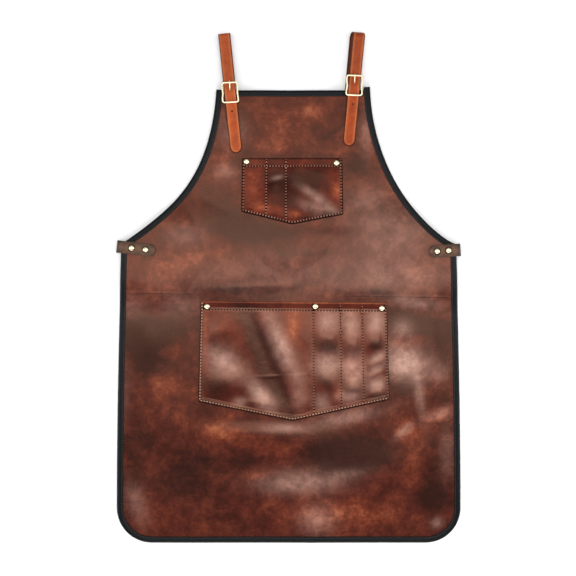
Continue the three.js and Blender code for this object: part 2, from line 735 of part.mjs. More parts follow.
// The anchor: a strip that runs up the bib, round the centre bar and back down on itself
const anchorUp = (side) => upVector(side, side.frameTilt);
const anchorRivetPoint = (side) => (
  barPoint(side).addScaledVector(anchorUp(side), anchorRivetInset - side.anchorLength)
);

function buildAnchor(side) {
  const bar = barPoint(side);
  const up = anchorUp(side);
  const base = buckleBase(side);
  const half = anchorThickness / 2;
  const wrap = centreBarRadius + gap + half;
  const pastBinding = (at) => {
    const belowEdge = bodyHeight - (bar.y + at * up.y);
    return smoothstep(belowEdge, 1.2 * bindingWidth, 3 * bindingWidth);
  };
  const lowLeg = (at) => base + lerp(anchorLow, gap, pastBinding(at)) + half;
  const down = (at) => smoothstep(-at, 0, anchorRamp);
  const rising = (at) => lerp(barHeight + wrap - half, anchorLow + anchorThickness + gap, down(at));
  const highLeg = (at) => base + rising(at) - (anchorLow - gap) * pastBinding(at) * down(at) + half;
  const steps = [1, 0.85, 0.7, 0.55, 0.42, 0.3, 0.2, 0.12, 0.05];
  const places = [
    ...steps.map((share) => ({ at: -share * side.anchorLength, height: lowLeg(-share * side.anchorLength) })),
    ...turnPlaces({ at: 0, height: base + barHeight }, wrap, -90, 90, 6),
    ...steps.slice().reverse().map((share) => (
      { at: -share * side.anchorLength, height: highLeg(-share * side.anchorLength) }
    )),
  ];
  const path = uprightPath(places, bar, up, acrossVector(up));
  const point = anchorRivetPoint(side);
  const geometry = strip(path, anchorWidth, anchorThickness, anchorEndRadius, anchorEndRadius);
  const cutters = [shankHole(point), placeAtBuckle(prongGeometry(gap), side)];
  add(`buckle_anchor_${side.name}`, withHoles(geometry, cutters), colours.body, 0.5);
  addRivet(`anchor_rivet_${side.name}`, point, rivetSeat(sheetSolid, point).low,
    base + 2 * (gap + anchorThickness));
  bodyHoles.push(shankHole(point));
}

// The shoulder strap: tail, buckle, fold at the top, hidden run and the end inside the other side's tab
function strapFront(side) {
  const bar = barPoint(side);
  const up = upVector(side, side.lean);
  const base = buckleBase(side);
  const half = strapThickness / 2;
  const loopRadius = (side.loopHeight - strapThickness) / 2;
  const loopAt = side.foldAbove - loopRadius - half;
  const rivetAt = anchorRivetInset - side.anchorLength;
  const table = [
    { at: -tailLength, height: base + gap },
    { at: -side.anchorLength - 0.75 * strapWidth, height: base + gap },
    { at: rivetAt - rivetRadius * 0.6, height: base + strapOverRivet },
    { at: rivetAt + rivetRadius * 0.6, height: base + strapOverRivet },
    { at: -endBarAt, height: base + strapUnderEnds },
    { at: 0, height: base + strapOverBar },
    { at: endBarAt, height: base + strapUnderEnds },
    { at: loopAt, height: side.loopHeight - strapThickness },
  ];
  const steps = 30;
  const run = Array.from({ length: steps }, (_, k) => lerp(-tailLength, loopAt, k / steps));
  const places = run.map((at) => ({ at, height: levelBetween(table, at) + half }));
  const turn = turnPlaces({ at: loopAt, height: side.loopHeight / 2 }, loopRadius, 90, -90, 8);
  const path = uprightPath([...places, ...turn], bar, up, acrossVector(up));
  path.slice(-turn.length).forEach((step, k) => {
    step.middle.addScaledVector(step.across, -side.loopShift * smoothstep(k / (turn.length - 1), 0, 1));
  });
  return path;
}

function strapHidden(side, run) {
  const half = strapThickness / 2;
  const total = (run.length - 1) * run[1].distanceTo(run[0]);
  const crossHalf = 1.2 * strapWidth;
  const crossRamp = 4 * strapWidth;
  const tabHalf = strapEndPastRivet + 2.3 * tabWidth;
  const tabRamp = tabHalf + 2.7 * tabWidth;
  return run.map((point, i) => {
    const before = run[Math.max(i - 1, 0)];
    const after = run[Math.min(i + 1, run.length - 1)];
    const along = after.clone().sub(before).normalize();
    const toEnd = total * (1 - i / (run.length - 1));
    const over = side.crossesOver ? bump(point.distanceTo(crossing), crossHalf, crossRamp) : 0;
    const atTab = bump(toEnd, tabHalf, tabRamp);
    const height = half + Math.max((strapThickness + gap) * over, strapAtTab * atTab);
    return {
      middle: point.clone().setZ(height),
      across: vector(-along.y, along.x),
      normal: vector(0, 0, -1),
    };
  });
}

function buildStrap(side, run) {
  const other = side === leftSide ? rightSide : leftSide;
  const up = upVector(side, side.lean);
  const path = [...strapFront(side), ...strapHidden(side, run)];
  const geometry = strip(path, strapWidth, strapThickness, strapWidth * 0.46, strapWidth * 0.2);
  const hole = (at, low, high) => {
    const point = barPoint(side).addScaledVector(up, at);
    return rod(point.clone().setZ(low), point.clone().setZ(high), holeRadius);
  };
  const aboveBack = 2 * strapThickness;
  const cutters = [
    hole(prongHoleAbove - holeSpacing, aboveBack, cutterReach),
    placeAtBuckle(prongGeometry(1.5 * gap), side),
    ...tabRivetShares.map((share) => shankHole(tabPoint(other, other.tabLength * share))),
  ];
  add(`shoulder_strap_${side.name}`, withHoles(geometry, cutters), colours.strap, 0.45);
}

// The side tab: a strip folded round the edge, with the end of a strap between its back leg and the sheet
function buildTab(side) {
  const line = tabLine(side);
  const half = tabThickness / 2;
  const high = tabFrontLeg + half;
  const low = tabBackLeg + half;
  const radius = (high - low) / 2;
  const foldAt = radius + half;
  const legs = [1, 0.75, 0.5, 0.3];
  const places = [
    ...legs.map((share) => ({ at: -share * side.tabLength, height: low })),
    ...turnPlaces({ at: -foldAt, height: (high + low) / 2 }, radius, -90, 90, 8),
    ...legs.slice().reverse().map((share) => ({ at: -share * side.tabLength, height: high })),
  ];
  const out = line.in.clone().negate();
  const path = uprightPath(places, line.outer, out, acrossVector(out));
  const points = tabRivetShares.map((share) => tabPoint(side, side.tabLength * share));
  const geometry = strip(path, tabWidth, tabThickness, tabEndRadius, tabEndRadius);
  add(`side_tab_${side.name}`, withHoles(geometry, points.map(shankHole)), colours.tab, 0.5);
  points.forEach((point, k) => {
    addRivet(`tab_rivet_${side.name}_${k + 1}`, point, tabBackLeg, tabFrontLeg + tabThickness);
    bodyHoles.push(shankHole(point));
  });
}

// The highest or lowest level of the sheet along a line of points, half a step each way from one of them
function levelAround(points, i, level, pick) {
  const shares = [0, 0.1, 0.2, 0.3, 0.4, 0.5];
  const neighbours = [points[Math.max(i - 1, 0)], points[Math.min(i + 1, points.length - 1)]];
  const places = neighbours.flatMap((other) => shares.map((share) => points[i].clone().lerp(other, share)));
  return pick(...places.map(level));
}

// Binding: a strip folded over the edge, swept along a run of { point, into } of the outline
function bindingStrip(run) {
  const faces = 8;
  const positions = [];
  const triangles = [];
  const outer = (distance) => run.map(({ point, into }) => point.clone().addScaledVector(into, distance));
  const edge = outer(bindingWall + gap);
  const tip = outer(bindingWidth);
  const middle = outer(bindingWidth / 2);
  run.forEach(({ point, into }, i) => {
    const corner = (distance, height) => {
      positions.push(...point.clone().addScaledVector(into, distance).setZ(height).toArray());
    };
    const high = levelAround(middle, i, sheetTop, Math.max);
    const low = levelAround(middle, i, sheetBack, Math.min);
    const edgeTop = Math.max(levelAround(edge, i, sheetTop, Math.max), high) + gap;
    const edgeBack = Math.min(levelAround(edge, i, sheetBack, Math.min), low) - gap;
    const tipTop = Math.max(levelAround(tip, i, sheetTop, Math.max), high) + gap;
    const tipBack = Math.min(levelAround(tip, i, sheetBack, Math.min), low) - gap;
    corner(bindingWidth, tipTop + bindingWall);
    corner(0, edgeTop + bindingWall);
    corner(0, edgeBack - bindingWall);
    corner(bindingWidth, tipBack - bindingWall);
    corner(bindingWidth, tipBack);
    corner(bindingWall, edgeBack);
    corner(bindingWall, edgeTop);
    corner(bindingWidth, tipTop);
    if (i === run.length - 1) return;
    const row = i * faces;
    for (let k = 0; k < faces; k += 1) {
      const next = (k + 1) % faces;
      triangles.push(row + k, row + next, row + faces + next, row + k, row + faces + next, row + faces + k);
    }
  });
  const cap = (row, flip) => {
    [[0, 1, 6, 7], [1, 2, 5, 6], [2, 3, 4, 5]].forEach(([a, b, c, d]) => {
      const corners = [row + a, row + b, row + c, row + a, row + c, row + d];
      triangles.push(...(flip ? corners.reverse() : corners));
    });
  };
  cap(0, true);
  cap((run.length - 1) * faces, false);
  return closedGeometry(positions, triangles);
}

// A run of the outline from one index to another
function outlineRun(from, to) {
  const run = [];
  for (let i = from; i <= to; i += 1) {
    const k = i % outline.length;
    run.push({ point: outline[k].clone(), into: inward[k].clone() });
  }
  return run;
}

// Moves an end of a run towards its neighbour
function drawBack(run, endIndex, neighbourIndex, distance) {
  const end = run[endIndex];
  const toward = run[neighbourIndex].point.clone().sub(end.point).normalize();
  end.point.addScaledVector(toward, distance);
}

// The end of an armhole binding is square and stands a little above the top edge
function squareEnd(run, endIndex, neighbourIndex, rise) {
  const end = run[endIndex];
  const away = end.point.clone().sub(run[neighbourIndex].point).normalize();
  const side = vector(-away.y, away.x);
  end.into = side.dot(end.into) > 0 ? side : side.negate();
  end.point.addScaledVector(away, rise);
}

function buildBindings() {
  const rightTop = topSteps;
  const rightWaist = rightTop + armholeSteps;
  const leftWaist = outline.length - armholeSteps + 1;
  const miter = gap;
  const topRun = outlineRun(0, rightTop);
  const cornerClear = bindingWidth + 3 * gap;
  [[0, 1], [topRun.length - 1, topRun.length - 2]].forEach(([end, neighbour]) => {
    topRun[end].into.set(0, -1, 0);
    drawBack(topRun, end, neighbour, cornerClear);
  });
  const rightRun = outlineRun(rightTop, rightWaist);
  squareEnd(rightRun, 0, 1, rightSide.earRise);
  drawBack(rightRun, rightRun.length - 1, rightRun.length - 2, miter);
  const skirtRun = outlineRun(rightWaist, leftWaist);
  drawBack(skirtRun, 0, 1, miter);
  drawBack(skirtRun, skirtRun.length - 1, skirtRun.length - 2, miter);
  const leftRun = outlineRun(leftWaist, outline.length);
  drawBack(leftRun, 0, 1, miter);
  squareEnd(leftRun, leftRun.length - 1, leftRun.length - 2, leftSide.earRise);
  const runs = {
    binding_top: topRun,
    binding_armhole_right: rightRun,
    binding_skirt: skirtRun,
    binding_armhole_left: leftRun,
  };
  Object.entries(runs).forEach(([name, run]) => add(name, bindingStrip(run), colours.binding, 0.45));
}

// The apron sheet: the lattice cut to the outline, inside the binding
function outlinedSheet() {
  const rows = lattice.heights.map((row, i) => row.map((height, j) => {
    const x = lattice.left + j * lattice.stepX;
    const y = lattice.low + i * lattice.stepY;
    return { top: vector(x, y, height + leather), bottom: vector(x, y, height) };
  }));
  const shape = new THREE.Shape(outline.map((_, i) => {
    const point = insetPoint(i, bindingWall + gap);
    return new THREE.Vector2(point.x, point.y);
  }));
  const prism = new THREE.ExtrudeGeometry(shape, { depth: 2 * cutterReach, bevelEnabled: false });
  prism.translate(0, 0, -cutterReach);
  return solidOf(slab(rows)).intersect(solidOf(prism));
}

const sheetSolid = outlinedSheet();
const bodyHoles = [];
pockets.forEach(buildPocket);
sides.forEach((side, k) => {
  buildAnchor(side);
  buildBuckle(side);
  buildTab(side);
  buildStrap(side, hiddenRuns[k]);
});
buildBindings();
add('apron_body', withHoles(geometryOf(sheetSolid), bodyHoles), colours.body, 0.5);

// The finished apron stands with the middle of its base at the origin
const box = new THREE.Box3().setFromObject(parts);
const middle = box.getCenter(vector(0, 0));
parts.position.set(-middle.x, -middle.y, -box.min.z);

const apron = new THREE.Group();
apron.add(parts);

export default apron;
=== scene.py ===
import math

import bpy
import numpy as np
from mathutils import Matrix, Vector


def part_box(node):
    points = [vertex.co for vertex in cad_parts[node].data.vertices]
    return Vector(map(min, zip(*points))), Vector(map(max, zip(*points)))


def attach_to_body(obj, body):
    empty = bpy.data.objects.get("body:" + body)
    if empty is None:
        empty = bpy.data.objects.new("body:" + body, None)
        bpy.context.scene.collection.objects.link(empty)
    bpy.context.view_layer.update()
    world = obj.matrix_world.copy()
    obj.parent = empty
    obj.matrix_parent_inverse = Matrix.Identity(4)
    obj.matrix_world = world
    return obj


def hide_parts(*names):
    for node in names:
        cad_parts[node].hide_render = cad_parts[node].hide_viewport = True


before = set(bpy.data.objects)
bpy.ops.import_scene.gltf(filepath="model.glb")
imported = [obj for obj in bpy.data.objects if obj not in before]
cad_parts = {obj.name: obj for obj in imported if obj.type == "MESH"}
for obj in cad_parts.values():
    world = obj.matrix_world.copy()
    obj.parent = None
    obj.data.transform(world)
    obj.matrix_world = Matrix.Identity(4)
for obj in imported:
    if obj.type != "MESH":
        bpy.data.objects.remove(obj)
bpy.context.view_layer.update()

# The studio
# A white sweep seen from straight above, under a long strip softbox whose reflection is the pale sheen
# across the waxed leather, a wide weak one over the bib, and low ones at the sides and in front.


def linear(code):
    """An sRGB colour such as "#8a5636" as linear RGBA."""
    parts = [int(code[i:i + 2], 16) / 255 for i in (1, 3, 5)]
    return [*(c / 12.92 if c <= 0.04045 else ((c + 0.055) / 1.055) ** 2.4 for c in parts), 1.0]


def add_node(material, kind, settings=None, **inputs):
    """A node with its settings, and its inputs by name or number: an output is linked, a value is set."""
    made = material.node_tree.nodes.new(kind)
    for name, value in (settings or {}).items():
        setattr(made, name, value)
    for name, value in inputs.items():
        key = int(name[1:]) if name[1:].isdigit() else name.replace("_", " ")
        if isinstance(value, bpy.types.NodeSocket):
            material.node_tree.links.new(value, made.inputs[key])
        else:
            made.inputs[key].default_value = value
    return made


def new_finish(name):
    """An empty material with a Principled shader, and the shader."""
    material = bpy.data.materials.new(name)
    material.use_nodes = True
    return material, material.node_tree.nodes["Principled BSDF"]


# The photograph is 1018 mm across at the floor, and the camera stands where its lens takes that in
photo_width, lens, sensor = 1.018, 70, 36
camera_height = photo_width * lens / sensor
camera_data = bpy.data.cameras.new("camera")
camera_data.lens = lens
camera_data.sensor_width = sensor
camera = bpy.data.objects.new("camera", camera_data)
camera.location = (-0.0009, -0.0005, camera_height + 0.004)
bpy.context.scene.collection.objects.link(camera)
bpy.context.scene.camera = camera

bpy.ops.object.select_all(action="DESELECT")
bpy.ops.mesh.primitive_plane_add(size=12, location=(0, 0, -0.0004))
floor = bpy.context.object
floor.name = "floor"
# Matt white paper, which throws light back evenly and shows no highlight
paper, shader = new_finish("matt_white_paper")
shader.inputs["Base Color"].default_value = linear("#ffffff")
shader.inputs["Roughness"].default_value = 0.9
shader.inputs["Specular IOR Level"].default_value = 0.1
floor.data.materials.append(paper)

# Softboxes: place, the point that each faces, its two sides, its watts, and its turn in degrees
softboxes = {
    "strip": ((0.15, 0.1, 2.75), (0.15, 0.1, 0.0), (2.8, 0.64), 22.5, -5),
    "over_bib": ((0.3, 1.5, 2.75), (0.3, 1.5, 0.0), (3.0, 2.1), 17, 0),
    "left": ((-1.75, -0.3, 2.5), (-0.2, -0.2, 0.0), (1.2, 1.1), 5, 0),
    "far_left": ((-2.6, -0.3, 1.6), (-0.2, -0.2, 0.0), (1.6, 1.6), 36, 0),
    "far_right": ((2.6, -0.3, 1.6), (0.2, -0.2, 0.0), (1.6, 1.6), 46, 0),
    "front": ((0.0, -2.4, 1.6), (0.0, 0.0, 0.0), (2.4, 1.2), 40, 0),
}
for name, (place, target, sides_of_box, power, turn) in softboxes.items():
    box_light = bpy.data.lights.new(name, "AREA")
    box_light.shape = "RECTANGLE"
    box_light.size, box_light.size_y = sides_of_box
    box_light.energy = power
    lamp = bpy.data.objects.new(name, box_light)
    lamp.location = place
    towards = np.subtract(target, place)
    heading = math.atan2(towards[1], towards[0]) if abs(towards[0]) + abs(towards[1]) > 1e-6 else -math.pi / 2
    tip = math.acos(-towards[2] / np.linalg.norm(towards))
    lamp.rotation_euler = (tip, 0, heading - math.pi / 2 + math.radians(turn))
    bpy.context.scene.collection.objects.link(lamp)

# The walls of the room give a weak even light that fills the shadows
world = bpy.data.worlds.new("dim_white_room")
world.use_nodes = True
world.node_tree.nodes["Background"].inputs["Color"].default_value = (1, 1, 1, 1)
world.node_tree.nodes["Background"].inputs["Strength"].default_value = 0.22
bpy.context.scene.world = world
bpy.context.scene.view_settings.view_transform = "Standard"
bpy.context.scene.view_settings.look = "None"

# The apron sheet
# One hide of waxed pull-up leather, 1.6 mm thick, cut to shape and laid flat over its own straps. Lengths
# here and below are millimetres from the middle of the hem, and in_frame() takes them into the frame.
hem_low, hem_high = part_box("binding_skirt")
origin = np.array([(hem_low.x + hem_high.x) / 2, hem_low.y, 0.0])


def in_frame(points):
    """Places in apron millimetres as places in the frame, which is in metres."""
    return np.asarray(points, float) * 0.001 + origin


def smoothstep(value, low, high):
    """Nought below low, one above high, and an even rise between them."""
    share = np.clip((value - low) / (high - low), 0, 1)
    return share * share * (3 - 2 * share)


def bezier(handles, steps):
    """Points of a curve given by its handles."""
    share = np.linspace(0, 1, steps + 1)[:, None]
    points = [np.asarray(handle, float) for handle in handles]
    while len(points) > 1:
        points = [a * (1 - share) + b * share for a, b in zip(points, points[1:])]
    return points[0]


def respaced(line, step):
    """A line of points walked again in equal steps of about the given length."""
    line = np.asarray(line, float)
    at = np.concatenate([[0], np.cumsum(np.linalg.norm(np.diff(line, axis=0), axis=1))])
    wanted = np.linspace(0, at[-1], max(2, round(at[-1] / step)) + 1)
    return np.stack([np.interp(wanted, at, line[:, k]) for k in range(line.shape[1])], axis=1)


def distance_to(line, x, y):
    """The distance of each place from a line of points."""
    nearest = np.full(np.shape(x), 1e9)
    for (ax, ay), (bx, by) in zip(line[:-1], line[1:]):
        along = np.array([bx - ax, by - ay])
        share = ((x - ax) * along[0] + (y - ay) * along[1]) / max(along @ along, 1e-9)
        share = np.clip(share, 0, 1)
        nearest = np.minimum(nearest, np.hypot(x - ax - share * along[0], y - ay - share * along[1]))
    return nearest


def ridges(table, x, y):
    """The sum of long soft bumps: place, reach along and across, height, and turn in degrees."""
    total = np.zeros(np.shape(x))
    for cx, cy, reach, breadth, rise, turn in table:
        c, s = math.cos(math.radians(turn)), math.sin(math.radians(turn))
        along = ((x - cx) * c + (y - cy) * s) / reach
        aside = ((y - cy) * c - (x - cx) * s) / breadth
        total = total + rise * np.exp(-along ** 2 - aside ** 2)
    return total


body_height, skirt_width, waist_width, waist_height = 800, 608, 591, 528
bib_width, bib_shift, corner_radius = 272, 8, 62
leather, gap = 1.6, 0.3

# What differs between the sides, in millimetres and degrees. Ear is how far the armhole's binding runs past
# the bib's corner, and the two handles bend the armhole, each a share of its height and a turn.
sides = {
    "left": dict(
        sign=-1, strap_inset=25, bar_drop=5.5, lean=5.9, frame_tilt=3, fold_above=106, loop_height=12,
        loop_shift=0, anchor_length=54, ear=1, tab_length=69, tab_drop=4, tab_tilt=6.6,
        low_handle=(0.375, 34.9), high_handle=(0.593, 3.6), other="right",
    ),
    "right": dict(
        sign=1, strap_inset=28.5, bar_drop=-6.8, lean=5.3, frame_tilt=2.5, fold_above=94.5, loop_height=20,
        loop_shift=5, anchor_length=60, ear=5.8, tab_length=56, tab_drop=10, tab_tilt=3.5,
        low_handle=(0.098, 13.1), high_handle=(0.631, 2.2), other="left",
    ),
}


def armhole(side):
    """The edge from the waist up to the corner of the bib."""
    sign, height = side["sign"], body_height - waist_height
    waist = np.array([sign * waist_width / 2, waist_height])
    corner = np.array([bib_shift + sign * bib_width / 2, body_height])
    (low, low_turn), (high, high_turn) = side["low_handle"], side["high_handle"]
    low_turn, high_turn = math.radians(low_turn), math.radians(high_turn)
    return bezier([
        waist,
        waist + height * low * np.array([-sign * math.cos(low_turn), math.sin(low_turn)]),
        corner + height * high * np.array([sign * math.sin(high_turn), -math.cos(high_turn)]),
        corner,
    ], 90)


def skirt_edge(side):
    """The edge from the hem up round the corner to the waist."""
    sign, half = side["sign"], skirt_width / 2
    turn = np.linspace(0, math.pi / 2, 20)
    corner = np.stack([
        sign * (half - corner_radius + corner_radius * np.sin(turn)),
        corner_radius * (1 - np.cos(turn)),
    ], axis=1)
    straight = bezier([(sign * half, corner_radius), (sign * half, waist_height / 2),
                       (sign * waist_width / 2, waist_height)], 60)
    return np.concatenate([corner[:-1], straight])


edges = {name: np.concatenate([skirt_edge(side)[:-1], armhole(side)]) for name, side in sides.items()}
outline = np.concatenate([edges["left"], edges["right"][::-1], edges["left"][:1]])


def up_of(side, angle):
    """The direction up a strap or a buckle that leans outward by an angle."""
    return np.array([side["sign"] * math.sin(math.radians(angle)), math.cos(math.radians(angle))])


def bar_of(side):
    """The middle of the buckle's centre bar."""
    edge = bib_shift + side["sign"] * bib_width / 2
    return np.array([edge - side["sign"] * side["strap_inset"], body_height - side["bar_drop"]])


def tab_line(side):
    """The fold of a side tab and the direction to its rounded end."""
    turn = math.radians(side["tab_tilt"])
    outer = np.array([side["sign"] * (waist_width / 2 + 8), waist_height - side["tab_drop"]])
    return outer, np.array([-side["sign"] * math.cos(turn), -math.sin(turn)])


tab_rivet_shares = (0.25, 0.61)


def hidden_run(side):
    """The strap's way down behind the bib and across to the tab of the other side."""
    up = up_of(side, side["lean"])
    start = bar_of(side) - side["loop_shift"] * np.array([up[1], -up[0]])
    other = sides[side["other"]]
    outer, inward = tab_line(other)
    end = outer + inward * (other["tab_length"] * (1 - tab_rivet_shares[1]) - 9)
    return respaced(bezier([start, start - 265 * up, end + 235 * inward, end], 200), 6)


# Heights of the hide's underside over the floor, over one strap, over both and inside a side tab. It
# keeps its height for 50 mm round each, and comes down by 115 mm away.
floor_level, strap_level, crossing_level, tab_level = 1.3, 3.6, 5.9, 6.8
held_up, come_down = 50, 115
runs = {name: hidden_run(side) for name, side in sides.items()}
crossing = min(runs["left"], key=lambda point: distance_to(runs["right"], *point))

# Folds and wrinkles of the sheet as it lies: x, y, reach, breadth, rise, turn
folds = [
    (231, 433, 103, 21, 1.9, -2), (-225, 438, 91, 21, 1.2, 3), (200, 380, 79, 40, 2.8, -14),
    (-243, 364, 49, 43, 1.8, 20), (-24, 188, 103, 33, 3.0, -8), (24, 104, 91, 36, 3.2, 14),
    (46, 56, 67, 27, 1.8, 80), (-237, 72, 91, 40, 2.5, -35), (237, 288, 103, 33, 2.8, 75),
    (-231, 240, 122, 36, 1.8, 95), (188, 128, 106, 36, 2.1, 30), (-106, 480, 91, 36, 1.8, 12),
    (100, 528, 79, 40, 1.4, -30), (-160, 419, 5, 17, 1.3, 8), (50, 48, 4, 60, 0.8, -4),
    (-60, 452, 60, 6, 0.9, 3),
]
pocket_boxes = [(-81.5, 564, 94, 679.5), (-155, 218.5, 173, 427.5)]


def sheet_back(x, y):
    """The height of the sheet's underside."""
    x, y = np.asarray(x, float), np.asarray(y, float)
    lift = np.zeros(np.shape(x))
    for name, side in sides.items():
        top = bar_of(side) + side["fold_above"] * up_of(side, side["lean"])
        strap = np.concatenate([[top], runs[name][::4], runs[name][-1:]])
        near = 1 - smoothstep(distance_to(strap, x, y), held_up, come_down)
        lift = np.maximum(lift, (strap_level - floor_level) * near)
        outer, inward = tab_line(side)
        tab = [outer, outer + side["tab_length"] * inward]
        near = 1 - smoothstep(distance_to(tab, x, y), held_up, come_down)
        lift = np.maximum(lift, (tab_level - floor_level) * near)
    near = 1 - smoothstep(np.hypot(x - crossing[0], y - crossing[1]), held_up, come_down)
    lift = np.maximum(lift, (crossing_level - floor_level) * near)
    calm = smoothstep(distance_to(outline[::3], x, y), 11, 55)
    for left, low, right, high in pocket_boxes:
        away = np.hypot(np.maximum(0, np.maximum(left - x, x - right)),
                        np.maximum(0, np.maximum(low - y, y - high)))
        calm = calm * smoothstep(away, -2, 26)
    return floor_level + lift + calm * ridges(folds, x, y)


def sheet_top(x, y):
    return sheet_back(x, y) + leather


def new_piece(name, points, faces):
    """A piece in the scene, made from places in apron millimetres and faces."""
    mesh = bpy.data.meshes.new(name)
    mesh.from_pydata(in_frame(points).tolist(), [], faces)
    piece = bpy.data.objects.new(name, mesh)
    bpy.context.scene.collection.objects.link(piece)
    return piece


def slab(name, top, bottom):
    """A closed sheet between two tables of places, rows by columns."""
    rows, columns = top.shape[:2]
    points = np.concatenate([top.reshape(-1, 3), bottom.reshape(-1, 3)])
    index = np.arange(rows * columns).reshape(rows, columns)
    a, b, c, d = index[:-1, :-1], index[:-1, 1:], index[1:, 1:], index[1:, :-1]
    face = np.stack([a, b, c, d], axis=-1).reshape(-1, 4)
    rim = np.concatenate([index[0, :], index[1:, -1], index[-1, -2::-1], index[-2:0:-1, 0]])
    after = np.roll(rim, -1)
    under = rows * columns
    walls = np.stack([rim, rim + under, after + under, after], axis=-1)
    return new_piece(name, points, np.concatenate([face, face[:, ::-1] + under, walls]).tolist())


def select_only(piece):
    bpy.ops.object.select_all(action="DESELECT")
    piece.select_set(True)
    bpy.context.view_layer.objects.active = piece


def smooth(piece, degrees=50):
    """Smooth shading, with sharp edges kept where faces turn by more than the angle."""
    select_only(piece)
    bpy.ops.object.shade_smooth_by_angle(angle=math.radians(degrees))


def paint(piece, name, values):
    """Keeps one number for each point of the mesh, for the material to read."""
    layer = piece.data.attributes.new(name, "FLOAT", "POINT")
    layer.data.foreach_set("value", np.ascontiguousarray(values, np.float32))


def places_of(piece):
    """The points of a mesh in apron millimetres."""
    flat = np.empty(len(piece.data.vertices) * 3)
    piece.data.vertices.foreach_get("co", flat)
    return (flat.reshape(-1, 3) - origin) * 1000


def attach(piece, finish, slot, *nodes):
    """Gives a piece its finish and its body, and hides the solids that it stands for. Its slot is not used.
    """
    piece.data.materials.clear()
    piece.data.materials.append(finish)
    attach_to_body(piece, "root")
    if nodes:
        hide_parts(*nodes)


# The hide's own edge lies 1.3 mm inside the binding's. Its rows are closer where the hem turns its
# corners, and along a faint fold above the tool pocket, which shows only towards both sides.
columns, inset = 190, 1.3
corner_rows = corner_radius * (1 - np.cos(np.linspace(0, math.pi / 2, 26)))
fold_height = 437
fine_rows = fold_height + np.array([-1.6, -0.8, 0, 0.8, 1.6, 2.6])
sheet_rows = np.concatenate([corner_rows[1:-1], np.linspace(corner_radius, body_height, 222), fine_rows])
sheet_rows = np.clip(np.sort(sheet_rows), inset, body_height - inset)
left_x = np.interp(sheet_rows, edges["left"][:, 1], edges["left"][:, 0]) + inset
right_x = np.interp(sheet_rows, edges["right"][:, 1], edges["right"][:, 0]) - inset
across = np.linspace(0, 1, columns + 1)
x = left_x[:, None] * (1 - across) + right_x[:, None] * across
y = np.repeat(sheet_rows[:, None], columns + 1, axis=1)
y = y - 0.0135 * x * np.exp(-((y - fold_height) / 70) ** 2)
off_fold = np.repeat((sheet_rows - fold_height)[:, None], columns + 1, axis=1)
at_sides = smoothstep(np.abs(x + 30), 110, 190) * (0.75 + 0.25 * np.sin(x / 11) * np.sin(x / 29 + 1))
fold_relief = 0.2 * np.exp(-((off_fold - 1.4) / 1.3) ** 2) - 0.2 * np.exp(-(off_fold / 0.8) ** 2)
back = sheet_back(x, y) + at_sides * fold_relief
sheet = slab("apron_sheet", np.stack([x, y, back + leather], axis=-1), np.stack([x, y, back], axis=-1))
smooth(sheet)

# Where the hide is darker or lighter, in its own tone and as painted shade and highlight on its folds:
# x, y, reach, breadth, change of tone, turn
sheet_tones_and_shade = [
    (-98, 448, 40, 8, -0.55, -4), (153, 443, 22, 8, -0.4, 0), (-254, 367, 38, 26, -0.6, -10),
    (232, 386, 60, 14, -0.9, -14), (268, 352, 24, 30, -0.4, 0), (200, 268, 24, 16, -0.35, 0),
    (276, 256, 16, 10, -0.35, 0), (-262, 182, 36, 30, -0.4, 0), (-174, 120, 52, 50, -0.35, 0),
    (-225, 385, 70, 22, -0.5, 0), (-250, 310, 40, 30, -0.35, 0), (-275, 90, 22, 60, -0.35, 0),
    (95, 50, 85, 26, 0.4, 0), (-140, 205, 60, 26, 0.15, 0), (109, 160, 86, 32, -0.6, 0),
    (254, 93, 30, 50, -0.5, 0), (-90, 142, 40, 16, -0.25, 0), (218, 146, 20, 46, 0.4, 0),
    (-112, 192, 50, 16, 0.45, -10), (-218, 337, 22, 10, 0.4, 0), (-218, 279, 50, 26, 0.3, 0),
    (-15, 166, 40, 16, 0.25, 0), (-60, 120, 30, 10, 0.35, 12), (180, 42, 20, 14, 0.25, 0),
    (-264, 66, 22, 34, 0.4, 20), (200, 352, 18, 12, 0.35, 0), (268, 226, 24, 12, 0.4, 20),
    (204, 190, 30, 20, 0.3, 40), (240, 40, 22, 16, 0.2, 0), (38, 762, 30, 20, 0.35, 20),
    (-20, 735, 30, 30, 0.2, 40), (-117, 597, 24, 36, 0.3, 0), (-90, 560, 44, 20, -0.8, 0),
    (-36, 546, 66, 16, -0.6, 4), (-118, 600, 24, 26, -0.6, 0), (20, 514, 70, 14, -0.3, 0),
    (-108, 676, 18, 26, 0.35, 0), (-250, 350, 40, 30, -0.3, 0), (240, 386, 50, 14, -0.8, -10),
    (-258, 360, 30, 22, -0.4, -10), (109, 158, 70, 22, -0.3, 0), (-125, 510, 24, 10, 0.35, 0),
    (-227, 482, 60, 24, 0.3, 8), (224, 472, 40, 22, 0.3, 0), (118, 663, 20, 18, -0.6, 0),
    (183, 624, 16, 20, 0.25, 0), (79, 726, 24, 4, -0.4, 35), (-90, 680, 24, 16, -0.4, 20),
    (-146, 620, 16, 36, -0.2, 10), (-40, 700, 30, 20, 0.2, 0), (60, 700, 40, 14, 0.15, -20),
    (-180, 500, 30, 12, 0.2, 0), (30, 500, 60, 10, 0.15, 0),
]
